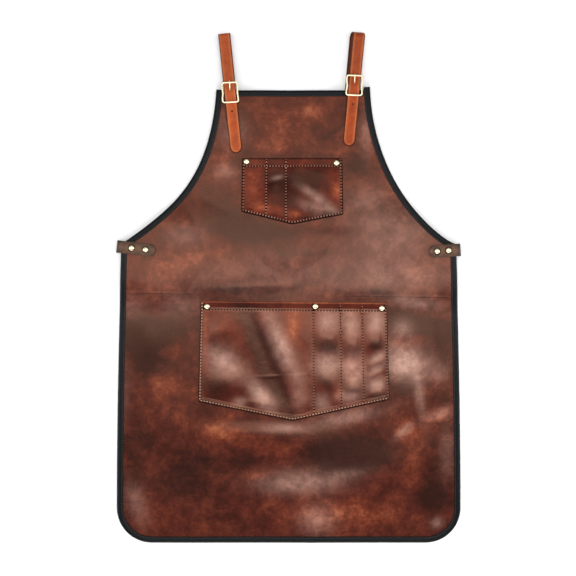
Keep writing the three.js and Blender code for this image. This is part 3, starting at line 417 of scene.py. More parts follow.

# Painted sheen, pale patches where the softbox's reflection lies on the waxed face:
# x, y, reach, breadth, amount, turn
sheet_painted_sheen = [
    (20, 476, 250, 44, 0.16, 0), (-280, 416, 34, 22, 0.15, 0), (-192, 420, 34, 20, 0.2, 0),
    (183, 549, 70, 50, 0.28, 0), (226, 424, 50, 11, 0.35, -8), (200, 378, 18, 16, 0.4, 0),
    (206, 318, 38, 27, 1.1, -20), (231, 262, 8, 42, 0.35, 8), (100, 221, 58, 12, 0.4, 12),
    (-11, 203, 34, 7, 0.5, 0), (204, 198, 18, 7, 0.4, 40), (268, 228, 22, 9, 0.3, 20),
    (17, 107, 62, 18, 0.5, 0), (52, 42, 28, 24, 0.35, 0), (-268, 70, 16, 34, 0.22, 20),
    (262, 35, 10, 9, 0.3, 0), (-291, 265, 10, 44, 0.1, 0), (268, 302, 14, 16, 0.25, 0),
    (280, 164, 12, 40, 0.2, 0), (-183, 544, 30, 18, 0.25, 0), (-112, 656, 18, 14, 0.25, 0),
    (-100, 730, 24, 30, 0.25, 0), (137, 728, 12, 40, 0.25, 0), (188, 468, 90, 22, 0.22, 0),
    (96, 120, 40, 10, 0.2, 10), (140, 600, 40, 30, 0.15, 0),
]


def fine_grain(finish, coordinates, grain_mm, depth_mm, wrinkle_mm, wrinkle_depth_mm):
    """Bump of a pebbled grain over longer wrinkles, with pebbles drawn coarser than real so as to show."""
    pebbles = add_node(finish, "ShaderNodeTexVoronoi", {"feature": "SMOOTH_F1"}, Vector=coordinates,
                       Scale=1000 / grain_mm, Smoothness=0.6)
    wrinkles = add_node(finish, "ShaderNodeTexNoise", Vector=coordinates, Scale=1000 / wrinkle_mm,
                        Detail=4.0, Roughness=0.55, Distortion=0.4)
    low = add_node(finish, "ShaderNodeBump", Height=wrinkles.outputs["Fac"], Strength=1.0,
                   Distance=wrinkle_depth_mm * 0.001)
    return add_node(finish, "ShaderNodeBump", Height=pebbles.outputs["Distance"], Strength=1.0,
                    Distance=depth_mm * 0.001, Normal=low.outputs["Normal"])


def pull_up_leather(name, stops, base, mottled, gloss, shine, wave_mm, wave_depth_mm):
    """Waxed leather in tones from dark to orange. It reads the mesh's tone, which holds painted shade,
    its painted sheen, and its edge, which is partly painted shade.

    Clouds of 90 mm, mottle of 26 mm, veins of 50 mm and a speckle of 8 mm shift the tone. Base moves
    them all, mottled is the mottle's strength, gloss the roughness, and shine the specular level.
    """
    finish, shader = new_finish(name)
    place = add_node(finish, "ShaderNodeTexCoord").outputs["Object"]
    drift = add_node(finish, "ShaderNodeTexNoise", Vector=place, Scale=1000 / 60, Detail=2.0)
    shift = add_node(finish, "ShaderNodeVectorMath", {"operation": "SCALE"}, _0=drift.outputs["Color"],
                     Scale=0.02)
    warped = add_node(finish, "ShaderNodeVectorMath", {"operation": "ADD"}, _0=place,
                      _1=shift.outputs["Vector"]).outputs["Vector"]
    clouds = add_node(finish, "ShaderNodeTexNoise", Vector=warped, Scale=1000 / 90, Detail=7.0,
                      Roughness=0.62)
    mottle = add_node(finish, "ShaderNodeTexNoise", Vector=warped, Scale=1000 / 26, Detail=8.0,
                      Roughness=0.68)
    veins = add_node(finish, "ShaderNodeTexNoise", {"noise_type": "RIDGED_MULTIFRACTAL"}, Vector=warped,
                     Scale=1000 / 50, Detail=5.0, Roughness=0.5)
    tone_and_shade = add_node(finish, "ShaderNodeAttribute", {"attribute_name": "tone_and_shade"}).outputs["Fac"]
    total = add_node(finish, "ShaderNodeMath", {"operation": "MULTIPLY_ADD"}, _0=clouds.outputs["Fac"],
                     _1=0.75, _2=tone_and_shade)
    total = add_node(finish, "ShaderNodeMath", {"operation": "MULTIPLY_ADD"}, _0=mottle.outputs["Fac"],
                     _1=mottled, _2=total.outputs["Value"])
    total = add_node(finish, "ShaderNodeMath", {"operation": "MULTIPLY_ADD"}, _0=veins.outputs["Fac"],
                     _1=0.06, _2=total.outputs["Value"])
    speckle = add_node(finish, "ShaderNodeTexNoise", Vector=warped, Scale=1000 / 8, Detail=5.0, Roughness=0.7)
    total = add_node(finish, "ShaderNodeMath", {"operation": "MULTIPLY_ADD"}, _0=speckle.outputs["Fac"],
                     _1=0.5, _2=total.outputs["Value"])
    total = add_node(finish, "ShaderNodeMath", {"operation": "ADD"}, _0=total.outputs["Value"],
                     _1=base - 0.25)
    ramp = add_node(finish, "ShaderNodeValToRGB", Fac=total.outputs["Value"])
    while len(ramp.color_ramp.elements) < len(stops):
        ramp.color_ramp.elements.new(0.5)
    for element, (position, colour) in zip(ramp.color_ramp.elements, stops):
        element.position = position
        element.color = linear(colour)
    # Painted sheen: a pale pinkish grey where the softbox's reflection lies, patchy with the mottle
    painted_sheen = add_node(finish, "ShaderNodeAttribute", {"attribute_name": "painted_sheen"}).outputs["Fac"]
    patchiness = add_node(finish, "ShaderNodeMapRange", Value=mottle.outputs["Fac"], From_Min=0.35,
                    From_Max=0.65, To_Min=0.5, To_Max=1.2)
    painted_sheen_amount = add_node(finish, "ShaderNodeMath", {"operation": "MULTIPLY", "use_clamp": True}, _0=painted_sheen,
                      _1=patchiness.outputs["Result"])
    pale = add_node(finish, "ShaderNodeMix", {"data_type": "RGBA"}, _0=painted_sheen_amount.outputs["Value"],
                    _6=ramp.outputs["Color"], _7=linear("#b48e80"))
    # The edge darkens to near black: partly the edge's own dye, partly painted shade along edges and hem
    edge = add_node(finish, "ShaderNodeAttribute", {"attribute_name": "edge"}).outputs["Fac"]
    dark_edge_and_shade = add_node(finish, "ShaderNodeMix", {"data_type": "RGBA"}, _0=edge, _6=pale.outputs[2],
                    _7=linear("#160706"))
    finish.node_tree.links.new(dark_edge_and_shade.outputs[2], shader.inputs["Base Color"])
    rough = add_node(finish, "ShaderNodeMapRange", Value=mottle.outputs["Fac"], To_Min=gloss - 0.07,
                     To_Max=gloss + 0.09)
    finish.node_tree.links.new(rough.outputs["Result"], shader.inputs["Roughness"])
    grain = fine_grain(finish, place, 1.6, 0.025, wave_mm, wave_depth_mm)
    finish.node_tree.links.new(grain.outputs["Normal"], shader.inputs["Normal"])
    shader.inputs["Specular IOR Level"].default_value = shine
    shader.inputs["Specular Tint"].default_value = linear("#ffc0a0")
    return finish


# Pull-up leather: oiled and waxed cowhide. The wax darkens it in clouds and pales to orange where the
# hide has been bent, and its smooth waxed face takes a satin sheen.
pull_up_stops = [
    (0.0, "#240d0c"), (0.25, "#381410"), (0.48, "#4a1d16"), (0.66, "#5c271b"), (0.83, "#743725"),
    (1.0, "#925136"),
]
body_leather = pull_up_leather("waxed_pull_up_leather", pull_up_stops, -0.66, 1.45, 0.26, 0.47, 60, 0.3)
spots = places_of(sheet)
# Along the waist fold, towards both sides: painted shade in the fold and a painted highlight just above it
fold_shade_and_highlight = 0.14 * np.exp(-((off_fold - 2) / 1.2) ** 2) - 0.4 * np.exp(-(off_fold / 1.0) ** 2)
both_faces = np.tile((at_sides * fold_shade_and_highlight).ravel(), 2)
paint(sheet, "tone_and_shade", ridges(sheet_tones_and_shade, spots[:, 0], spots[:, 1]) + both_faces)
paint(sheet, "painted_sheen", ridges(sheet_painted_sheen, spots[:, 0], spots[:, 1]))
attach(sheet, body_leather, "body_leather", "apron_body")

# The edge binding
# A strip of thin black leather, folded over the raw edge of the hide and run down with one row of
# stitches near its inner edge. It is in four lengths that meet at the bib's corners and at the waist.


def sweep(name, rings, closed=False):
    """A tube through rings of places, with flat ends or closed to a ring."""
    count, size = rings.shape[:2]
    index = np.arange(count * size).reshape(count, size)
    after = np.roll(index, -1, axis=1)
    if closed:
        index, after = np.concatenate([index, index[:1]]), np.concatenate([after, after[:1]])
    faces = np.stack([index[:-1], after[:-1], after[1:], index[1:]], axis=-1).reshape(-1, 4).tolist()
    faces += [] if closed else [index[0, ::-1].tolist(), index[-1].tolist()]
    piece = new_piece(name, rings.reshape(-1, 3), faces)
    select_only(piece)
    bpy.ops.object.mode_set(mode="EDIT")
    bpy.ops.mesh.select_all(action="SELECT")
    bpy.ops.mesh.normals_make_consistent(inside=False)
    bpy.ops.object.mode_set(mode="OBJECT")
    return piece


# One stitch is a round thread pulled down at both ends, modelled once and copied along each seam
bpy.ops.object.select_all(action="DESELECT")
bpy.ops.mesh.primitive_uv_sphere_add(segments=8, ring_count=4, radius=1)
stitch = bpy.context.object
bpy.ops.object.mode_set(mode="EDIT")
bpy.ops.mesh.select_all(action="SELECT")
bpy.ops.transform.resize(value=(0.5, 0.5, 0.5))
bpy.ops.object.mode_set(mode="OBJECT")
stitch_points = np.array([v.co for v in stitch.data.vertices])
stitch_faces = [list(p.vertices) for p in stitch.data.polygons]
bpy.data.objects.remove(stitch)


def stitched(name, seams, pitch, share, width, height, between=False):
    """Beads along seams, each a line of places on the surface: stitches, or what shows between them."""
    points, faces = [], []
    for seam in seams:
        line = respaced(seam, pitch)
        if between:
            line = np.concatenate([line[:1], (line[1:] + line[:-1]) / 2, line[-1:]])
        middle, along = (line[1:] + line[:-1]) / 2, line[1:] - line[:-1]
        for centre, step in zip(middle, along):
            ahead = step / np.linalg.norm(step)
            aside = np.cross([0, 0, 1], ahead)
            aside = aside / np.linalg.norm(aside)
            above = np.cross(ahead, aside)
            size = np.array([np.linalg.norm(step) * share, width, height])
            base = len(points) * len(stitch_points)
            points.append(centre + (stitch_points * size) @ np.stack([ahead, aside, above]))
            faces += [[base + k for k in face] for face in stitch_faces]
    piece = new_piece(name, np.concatenate(points), faces)
    piece.data.polygons.foreach_set("use_smooth", [True] * len(faces))
    return piece


def inward_of(line):
    """The direction to the inside at each point of a line that runs clockwise round the apron."""
    ahead = np.gradient(line, axis=0)
    ahead = ahead / np.linalg.norm(ahead, axis=1)[:, None]
    return np.stack([ahead[:, 1], -ahead[:, 0]], axis=1)


# The binding's section: how far in from the edge, and how far off the sheet's face (1) or its back (-1).
# Its stitches lie 9 mm in and 4.6 mm apart.
binding_seam, binding_pitch = 9.0, 4.6
binding_section = [
    (11.0, 1, 0.1), (11.05, 1, 0.6), (10.7, 1, 1.0), (10.0, 1, 1.1), (9.0, 1, 0.8), (8.1, 1, 1.2),
    (7.0, 1, 1.6), (5.2, 1, 1.8), (3.2, 1, 1.6), (1.7, 1, 1.15), (0.7, 1, 0.5), (0.15, 1, -0.3), (0.0, 0, 0),
    (0.15, -1, -0.1), (0.6, -1, 0.5), (1.5, -1, 0.9), (3.0, -1, 1.05), (8.1, -1, 1.0), (9.0, -1, 0.85),
    (10.0, -1, 1.0), (10.7, -1, 0.9), (11.05, -1, 0.5), (11.0, -1, 0.1), (1.3, -1, 0.1), (1.3, 1, 0.1),
]


def binding(name, line, rises=(0, 0), square=(False, False)):
    """Sweeps the section along an edge and stitches it. Its ends can reach further, and be cut square."""
    line = respaced(line, 4)
    inward = inward_of(line)
    for end, rise, is_square in zip((0, -1), rises, square):
        ahead = line[0] - line[1] if end == 0 else line[-1] - line[-2]
        ahead = ahead / np.linalg.norm(ahead)
        line[end] = line[end] + rise * ahead
        if is_square:
            straight = np.array([-ahead[1], ahead[0]])
            inward[end] = straight * np.sign(straight @ inward[end])
    rings = []
    for reach, face, off in binding_section:
        spot = line + reach * inward
        over = line + max(reach, inset) * inward
        back = sheet_back(over[:, 0], over[:, 1])
        height = back + leather / 2 + face * (leather / 2 + off)
        rings.append(np.column_stack([spot, height]))
    piece = sweep(name, np.stack(rings, axis=1))
    smooth(piece, 60)
    attach(piece, binding_leather, "binding_leather", name.replace("edge", "binding"))
    seams = []
    for face, off in ((1, 1.02), (-1, 0.92)):
        spot = line + binding_seam * inward
        back = sheet_back(spot[:, 0], spot[:, 1])
        seams.append(np.column_stack([spot, back + leather / 2 + face * (leather / 2 + off)]))
    thread = stitched(name + "_stitches", seams, binding_pitch, 0.72, 0.8, 0.5)
    attach(thread, black_thread, "binding_leather")


# Split leather with a black pigment finish: nearly black, with a fine grain that keeps its sheen soft
binding_leather, shader = new_finish("black_pigmented_leather")
shader.inputs["Roughness"].default_value = 0.35
shader.inputs["Specular IOR Level"].default_value = 0.14
place = add_node(binding_leather, "ShaderNodeTexCoord").outputs["Object"]
patchiness = add_node(binding_leather, "ShaderNodeTexNoise", Vector=place, Scale=1000 / 12, Detail=5.0)
shade = add_node(binding_leather, "ShaderNodeMix", {"data_type": "RGBA"}, _0=patchiness.outputs["Fac"],
                 _6=linear("#070809"), _7=linear("#131417"))
binding_leather.node_tree.links.new(shade.outputs[2], shader.inputs["Base Color"])
grain = fine_grain(binding_leather, place, 1.2, 0.08, 5, 0.1)
binding_leather.node_tree.links.new(grain.outputs["Normal"], shader.inputs["Normal"])

# Bonded polyester thread, with a dull twisted surface
black_thread, shader = new_finish("black_polyester_thread")
shader.inputs["Base Color"].default_value = linear("#2c2e31")
shader.inputs["Roughness"].default_value = 0.5

bib_corners = {name: edges[name][-1] for name in sides}
top_edge = np.stack([bib_corners["left"] + [11.9, 0], bib_corners["right"] - [11.9, 0]])
binding("edge_top", top_edge)
binding("edge_armhole_right", armhole(sides["right"])[::-1], (sides["right"]["ear"], -0.3), (True, False))
binding("edge_armhole_left", armhole(sides["left"]), (-0.3, sides["left"]["ear"]), (False, True))
skirt = np.concatenate([skirt_edge(sides["right"])[::-1], skirt_edge(sides["left"])])
binding("edge_skirt", skirt, (-0.3, -0.3))

# The pockets
# Each is one panel of thinner waxed leather. Its mouth is folded to a hem and stitched, its other edges
# are turned under and stitched to the hide, stitched lines part it into compartments, and two or three
# rivets hold the mouth.

# The real stitches are about 4 mm apart, and are drawn at 5.3 mm so that each shows in a small render
stitch_pitch = 5.3
seam = 2.5
panel_step = 2.1


def spaced(marks, high):
    """Places from nought to high about a step apart, with finer ones on both sides of each mark."""
    fine = [mark + off for mark in marks for off in (-2.0, -1.0, 0, 1.0, 2.0)] + [0, 0.4, 0.9]
    fine = [value for value in fine + [high - 0.9, high - 0.4, high] if 0 <= value <= high]
    even = [value for value in np.arange(0, high, panel_step)
            if all(abs(value - mark) > 0.7 * panel_step for mark in fine)]
    return np.array(sorted({round(value, 4) for value in fine + even}))


def panel_lines(shape, across):
    """The mouth and the foot of a panel at shares of its width."""
    mouth = shape["top"] - shape["top_fall"] * across
    before = across < shape["point_at"]
    share = np.where(before, across / shape["point_at"], (1 - across) / (1 - shape["point_at"]))
    corner = np.where(before, shape["left_depth"], shape["right_depth"])
    return mouth, mouth - (corner + (shape["height"] - corner) * share)


# The compartments begin 4 mm in from the panel's sides
wall = 4


def panel_lift(shape, across, up):
    """How far the panel stands off the hide between its seams."""
    width = shape["width"]
    inner = (across * width - wall) / (width - 2 * wall)
    rise = np.zeros(np.shape(across))
    for start, end, share in shape["slots"]:
        middle = np.abs(2 * (inner - start) / (end - start) - 1)
        inside = (inner >= start) & (inner <= end)
        rise = np.where(inside, share * (1 - middle ** (3 if end - start > 0.5 else 2)), rise)
    return shape["rise"] * rise * smoothstep(up, 0.02, shape["full_at"])


def dividers_of(shape):
    """The stitched lines between compartments, as distances from the panel's left edge."""
    return [wall + start * (shape["width"] - 2 * wall) for start, *_ in shape["slots"][1:]]


def panel_face(shape, across, from_top):
    """Places on the panel's face, and how far its underside stands off the hide."""
    width, hem = shape["width"], shape["hem"]
    mouth, foot = panel_lines(shape, across)
    y = mouth - from_top
    up = np.clip((y - foot) / (mouth - foot), 0, 1)
    spread = shape["spread"] * (1 - up)
    x = shape["left"] - spread / 2 + across * (width + spread)
    edge = np.minimum(np.minimum(across, 1 - across) * width, y - foot)
    turned = 1 - np.minimum(smoothstep(edge, 5.5, 8), smoothstep(from_top, hem - 0.7, hem + 0.7))
    thick = (leather + 1.1 * turned) * np.sqrt(1 - 0.92 * (1 - np.clip(edge / 1.5, 0, 1)) ** 2)
    thick = thick - 1.0 * (1 - np.clip(from_top / 1.5, 0, 1)) ** 2
    groove = np.exp(-((edge - seam) / 0.9) ** 2) + np.exp(-((from_top - shape["hem_seam"]) / 0.8) ** 2)
    for divider in dividers_of(shape):
        groove = groove + np.exp(-((across * width - divider) / 1.0) ** 2)
    near_divider = np.min([np.abs(across * width - divider) for divider in dividers_of(shape)], axis=0)
    calm = smoothstep(edge, 3, 18) * smoothstep(near_divider, 0, 18)
    lift = panel_lift(shape, across, up)
    creases = calm * ridges(shape["creases"], across * width, shape["height"] - from_top)
    tilt = shape["mouth_tilt"] * (1 - np.clip(from_top / hem, 0, 1))
    height = sheet_top(x, y) + 0.1 + lift + thick + tilt - 0.2 * np.minimum(groove, 1) + creases
    return x, y, height, lift


def pocket_panel(name, shape):
    """The panel as a closed slab: a point for each of its columns and rows."""
    width, height = shape["width"], shape["height"]
    columns = spaced([seam, *dividers_of(shape), width - seam], width) / width
    mouth, foot = panel_lines(shape, columns)
    # Marks are depths below the mouth, and low holds the depths of the rows along the slanting foot
    marks = sorted({0, 0.5, 1.2, 2.2, 4, 6, 8.5, shape["hem"] - 0.9, shape["hem"], shape["hem"] + 0.9,
                    *(shape["hem_seam"] + off for off in (-1.2, 0, 1.2)), 19.0})
    low = [mouth - foot - off for off in (0, 0.4, 0.9, seam - 1, seam, seam + 1, 6, 8)]
    steps = round((height - 27) / panel_step)
    middle = [low[-1] * (1 - k / steps) + marks[-1] * k / steps for k in range(1, steps)]
    from_top = np.stack(low + middle + [np.full(len(columns), float(off)) for off in marks[::-1]])
    x, y, face, lift = panel_face(shape, np.repeat(columns[None], len(from_top), axis=0), from_top)
    under = np.minimum(sheet_top(x, y) + 0.05 + lift, face - 0.25)
    panel = slab(name + "_panel", np.stack([x, y, face], axis=-1), np.stack([x, y, under], axis=-1))
    smooth(panel)
    edge = np.minimum(np.minimum(columns, 1 - columns)[None] * width, mouth - foot - from_top)
    # Dark edges: partly their black dye, partly a painted shadow; the line under the hem is painted shade
    dark_edge_and_shade = 0.9 * (1 - smoothstep(edge, 0.3, 1.3))
    dark_edge_and_shade = np.maximum(dark_edge_and_shade, 0.75 * np.exp(-((from_top - shape["hem"] - 0.6) / 0.9) ** 2))
    band = 1 - smoothstep(from_top, shape["hem"] - 0.9, shape["hem"] + 0.5)
    # On top of the tones, which hold painted shade, the hem band and mouth's top get painted light and shade
    tone_and_shade = ridges(shape["tones_and_shade"], x, y) + shape["band_painted_light"] * band
    tone_and_shade = tone_and_shade + shape["lip_painted_light"] * (1 - smoothstep(from_top, 1.2, 3.5))
    # The painted sheen is kept off the hem band
    painted_sheen = ridges(shape["painted_sheen"], x, y) * (1 - band)
    for kept, values in (("edge", dark_edge_and_shade), ("tone_and_shade", tone_and_shade), ("painted_sheen", painted_sheen)):
        paint(panel, kept, np.tile(values.ravel(), 2))
    return panel


def seam_lines(shape):
    """The stitch lines by name, as places on the panel's face."""
    width = shape["width"]
    inset = seam / width
    shares = np.linspace(inset, 1 - inset, 90)

    def down(share, last):
        depth = np.linspace(1.5, last, 60)
        return np.column_stack(panel_face(shape, np.full(60, share), depth)[:3])

    def length_at(share):
        mouth, foot = panel_lines(shape, np.array(share))
        return float(mouth - foot)

    mouth, foot = panel_lines(shape, shares)
    lines = {
        "left": down(inset, length_at(inset) - seam),
        "right": down(1 - inset, length_at(1 - inset) - seam),
        "foot": np.column_stack(panel_face(shape, shares, mouth - foot - seam)[:3]),
        "hem": np.column_stack(panel_face(shape, shares, np.full(90, shape["hem_seam"]))[:3]),
    }
    for k, divider in enumerate(dividers_of(shape), 1):
        lines[f"divider_{k}"] = down(divider / width, length_at(divider / width) - seam)
    return lines


# Slots are their start and end as shares of the width, and how full they are. Creases are places from the
# panel's left edge and from its foot. Tones, which hold painted shade in the panel's hollows as well as
# its own tone, and the painted sheen are places on the apron, as for the hide. The band's and the lip's
# painted light shift the hem band and the top of the mouth. Tan names the seams sewn with pale thread,
# and finish gives what pull_up_leather takes.
pockets = {
    "chest_pocket": dict(
        left=-81.5, top=679.5, width=175.5, height=115.5, spread=3.5, top_fall=0, left_depth=93,
        right_depth=98, point_at=0.5, hem=13, hem_seam=13.6, rise=4, band_painted_light=0.05, lip_painted_light=-0.4,
        mouth_tilt=0.6, full_at=0.52, slots=[(0, 0.23, 0.5), (0.23, 0.435, 0.5), (0.435, 1, 1)],
        creases=[
            (132, 22, 46, 15, 2.6, -30), (122, 92, 44, 13, 1.4, -12), (62, 70, 12, 8, 0.9, 12),
            (24, 40, 14, 20, 0.8, 10), (60, 30, 14, 14, 0.8, 0), (150, 52, 18, 6, 0.5, -38),
        ],
        tones_and_shade=[
            (-63, 632, 16, 34, 0.4, 0), (-24, 633, 14, 30, -0.35, 0), (25, 642, 46, 20, -0.45, -10),
            (84, 624, 10, 22, 0.5, 0), (-2, 606, 14, 16, -0.4, 0), (-34, 590, 30, 9, 0.4, -8),
            (60, 578, 34, 7, -0.4, 14), (10, 583, 14, 5, 0.3, 0),
        ],
        painted_sheen=[
            (-20, 645, 10, 4, 0.4, 12), (50, 610, 36, 8, 0.45, -35), (38, 592, 22, 10, 0.35, -20),
            (70, 588, 20, 7, 0.3, -20),
        ],
        rivets=[(0.04, 6), (0.945, 8.3)], nodes=["chest_pocket"],
        tan=[], stitch_width=4.0,
        finish=("waxed_pull_up_pocket_leather", -0.58, 1.2, 0.3, 0.26, 26, 0.35),
    ),
    "tool_pocket": dict(
        left=-155, top=427.5, width=328, height=209, spread=9, top_fall=3.2, left_depth=177,
        right_depth=170, point_at=0.495, hem=12.5, hem_seam=14.6, rise=5.5, band_painted_light=-0.12, lip_painted_light=0.5,
        mouth_tilt=1.6, full_at=0.95,
        slots=[(0, 0.608, 1), (0.608, 0.757, 0.45), (0.757, 0.877, 0.4), (0.877, 1, 0.4)],
        creases=[
            (121, 114, 100, 16, -1.8, -66), (152, 100, 84, 18, 2.8, -66), (52, 66, 40, 24, 3.0, 8),
            (108, 24, 30, 20, 2.6, -14), (70, 20, 14, 14, 1.6, -14), (142, 78, 40, 2.2, 0.5, 3),
            (20, 150, 26, 16, 1.0, 30), (176, 24, 14, 16, 2.0, 0), (225, 144, 30, 17, 2.2, -6),
            (222, 72, 26, 17, 2.2, -24), (238, 34, 26, 9, 1.2, -66), (270, 132, 22, 18, 2.0, 10),
            (270, 56, 26, 17, 2.2, 14), (262, 100, 16, 8, 0.6, 40), (309, 140, 22, 17, 1.9, 8),
            (314, 104, 18, 7, 1.1, 28), (306, 82, 16, 6, 1.0, 30), (310, 50, 20, 10, 1.6, 32),
        ],
        tones_and_shade=[
            (-146, 350, 5, 60, 0.4, 0), (-112, 385, 34, 22, 0.15, 0), (8, 385, 14, 30, 0.35, 0),
            (112, 308, 15, 22, 0.45, 0), (-134, 279, 26, 20, -0.5, -45), (-40, 322, 96, 15, -1.0, -66),
            (-146, 240, 20, 16, -0.3, -20), (72, 348, 22, 12, -0.45, -20), (70, 277, 8, 28, -0.3, 30),
            (116, 337, 15, 12, -0.4, 0), (112, 271, 16, 7, -0.35, 0), (155, 350, 14, 10, -0.5, 0),
            (160, 259, 18, 7, -0.5, 14), (84, 262, 10, 14, 0.35, -60), (-90, 380, 40, 16, 0.15, 0),
        ],
        painted_sheen=[
            (-116, 321, 34, 20, 0.7, -35), (-47, 260, 30, 13, 0.8, -50), (-86, 249, 12, 8, 0.45, 0),
            (-14, 350, 56, 14, 0.68, -66), (17, 267, 13, 34, 0.2, 0), (70, 391, 19, 20, 0.6, 0),
            (68, 316, 22, 20, 0.75, -10), (59, 249, 14, 14, 0.5, 0), (110, 388, 13, 28, 0.6, 10),
            (114, 304, 18, 24, 0.8, 0), (112, 257, 16, 8, 0.5, 14), (153, 391, 15, 20, 0.7, 0),
            (158, 328, 16, 8, 0.65, 28), (157, 309, 16, 6, 0.55, 28), (156, 281, 16, 13, 0.6, 10),
            (96, 262, 12, 8, 0.35, 14),
        ],
        rivets=[(0.034, 9.5), (0.616, 7.5), (0.973, 9.5)], nodes=["tool_pocket", "tool_pocket_slots"],
        tan=["left", "foot"], stitch_width=3.0,
        finish=("glazed_pull_up_leather", -0.38, 0.8, 0.24, 0.68, 26, 0.45),
    ),
}

# The same leather split thinner. The tool pocket's is ironed for gloss, so that it reflects more sharply
# than the hide.
pocket_stops = [
    (0.0, "#2a0c0a"), (0.25, "#40130e"), (0.48, "#541d14"), (0.66, "#682819"), (0.83, "#803a23"),
    (1.0, "#a05b38"),
]

# Bonded polyester thread, matt and even in colour: tan where it shows pale, and a dark brown that is
# pulled down into its holes, so that each stitch is a dark bead. The dark brown is nearly black, for it
# also stands as the painted shade in the holes.
tan_thread, shader = new_finish("tan_polyester_thread")
shader.inputs["Base Color"].default_value = linear("#e0ab8a")
shader.inputs["Roughness"].default_value = 0.6
dark_thread_and_hole_shade, shader = new_finish("dark_brown_thread_and_painted_hole_shade")
shader.inputs["Base Color"].default_value = linear("#0a0302")
shader.inputs["Roughness"].default_value = 0.9
shader.inputs["Specular IOR Level"].default_value = 0.1

# The same leather where it is drawn up between two stitches: its wax is rubbed off there, so it is paler
puckered_leather, shader = new_finish("rubbed_pull_up_leather")
place = add_node(puckered_leather, "ShaderNodeTexCoord").outputs["Object"]
rubbing = add_node(puckered_leather, "ShaderNodeTexNoise", Vector=place, Scale=1000 / 22, Detail=4.0)
ramp = add_node(puckered_leather, "ShaderNodeValToRGB", Fac=rubbing.outputs["Fac"])
for element, (position, colour) in zip(ramp.color_ramp.elements, [(0.3, "#7c4230"), (0.7, "#b98169")]):
    element.position = position
    element.color = linear(colour)
puckered_leather.node_tree.links.new(ramp.outputs["Color"], shader.inputs["Base Color"])
shader.inputs["Roughness"].default_value = 0.4

# The raw edge of the turned-in leather, painted with black edge paint, which dries matt. The same matt
# black is also painted shadow: in the welt under the pockets' edges, and in the ring round each rivet cap.
edge_paint_and_shadow, shader = new_finish("black_edge_paint_and_painted_shadow")
shader.inputs["Base Color"].default_value = linear("#100403")
shader.inputs["Roughness"].default_value = 0.8
shader.inputs["Specular IOR Level"].default_value = 0.1


def welt(name, shape):
    """The turned-in edge, a thin dark line round the sides and the foot that is partly a painted shadow."""
    shares = np.concatenate([np.zeros(30), np.linspace(0, 1, 80)[1:-1], np.ones(30)])
    mouth, foot = panel_lines(shape, shares)
    depth = mouth - foot
    depth[:30] *= np.linspace(0.02, 1, 30)
    depth[-30:] *= np.linspace(1, 0.02, 30)
    x, y, _, _ = panel_face(shape, shares, depth)
    line = respaced(np.column_stack([x, y]), 3)
    inward = -inward_of(line)
    rings = []
    wide = 0.6 + 0.9 * np.abs(inward[:, 1:])
    for off, height in ((-1.0, 0.1), (-1.0, 0.7), (-0.7, 1.0), (0.9, 1.1), (0.9, 0.1)):
        spot = line + (off * wide if off < 0 else off) * inward
        rings.append(np.column_stack([spot, sheet_top(*spot.T) + height]))
    return sweep(name + "_welt", np.stack(rings, axis=1))


rivet_places = {}
for name, shape in pockets.items():
    attach(welt(name, shape), edge_paint_and_shadow, "pocket_leather")
    panel = pocket_panel(name, shape)
    label, *rest = shape["finish"]
    attach(panel, pull_up_leather(label, pocket_stops, *rest), "pocket_leather", *shape["nodes"])
    lines = seam_lines(shape)
    pale = [lines[key] for key in shape["tan"]]
    dark = [line for key, line in lines.items() if key not in shape["tan"]]
    if pale:
        threads = stitched(name + "_tan_stitches", pale, stitch_pitch, 0.54, 1.9, 1.6)
        attach(threads, tan_thread, "pocket_leather")
        # Between the tan stitches, dark beads are the painted shade in the stitch holes
        hole_shade = stitched(name + "_stitch_hole_shade", pale, stitch_pitch, 0.54, 2.4, 1.3, between=True)
        attach(hole_shade, dark_thread_and_hole_shade, "pocket_leather")
    wide = shape["stitch_width"]
    threads = stitched(name + "_dark_stitches", dark, stitch_pitch, 0.56, wide, 1.9)
    attach(threads, dark_thread_and_hole_shade, "pocket_leather")
    puckers = stitched(name + "_puckers", dark, stitch_pitch, 0.5, wide - 0.8, 1.2, between=True)
    attach(puckers, puckered_leather, "pocket_leather")
    for k, (across, down) in enumerate(shape["rivets"], 1):
        x, y, z, _ = panel_face(shape, np.array(across), np.array(float(down)))
        rivet_places[f"{name}_rivet_{k}"] = (float(x), float(y), float(sheet_back(x, y)), float(z))

# The buckle anchors
# A strip of the body leather goes up the bib, round the buckle's centre bar and back down on itself,
# with a rounded end under one rivet. It shows beside the strap's tail.
anchor_thickness, strap_thickness, strap_width, wire_radius, bar_radius = 1.7, 2, 21.2, 1.5, 1.2
frame_length, frame_width = 37.5, 30.5
anchor_low = 1.6
bar_height = anchor_low + anchor_thickness + gap + bar_radius
strap_over_bar = bar_height + bar_radius + 2 * gap + anchor_thickness
strap_under_ends = anchor_low + 2 * anchor_thickness + 3 * gap
end_bar_height = strap_under_ends + strap_thickness + gap + wire_radius
rivet_cap, rivet_from_end = 1.7, 13
strap_over_rivet = 2 * (gap + anchor_thickness) + gap + rivet_cap + gap
end_bar_at = frame_length / 2 - wire_radius


def upright_path(places, start, along, across):
    """Places along and above a start point, in one upright plane, as middles, sides and normals."""
    places = np.asarray(places, float)
    step = np.gradient(places, axis=0)
    step = step / np.linalg.norm(step, axis=1)[:, None]
    middle = np.column_stack([start + places[:, :1] * along, places[:, 1]])
    side = np.repeat(np.array([[*across, 0.0]]), len(places), axis=0)
    ahead = np.column_stack([step[:, :1] * along, step[:, 1]])
    return middle, side, np.cross(side, ahead)


def turn_places(at, height, radius, start, end, steps):
    """Places round a bend, from a start to an end in degrees."""
    turn = np.radians(np.linspace(start, end, steps + 1))
    return np.column_stack([at + radius * np.cos(turn), height + radius * np.sin(turn)])


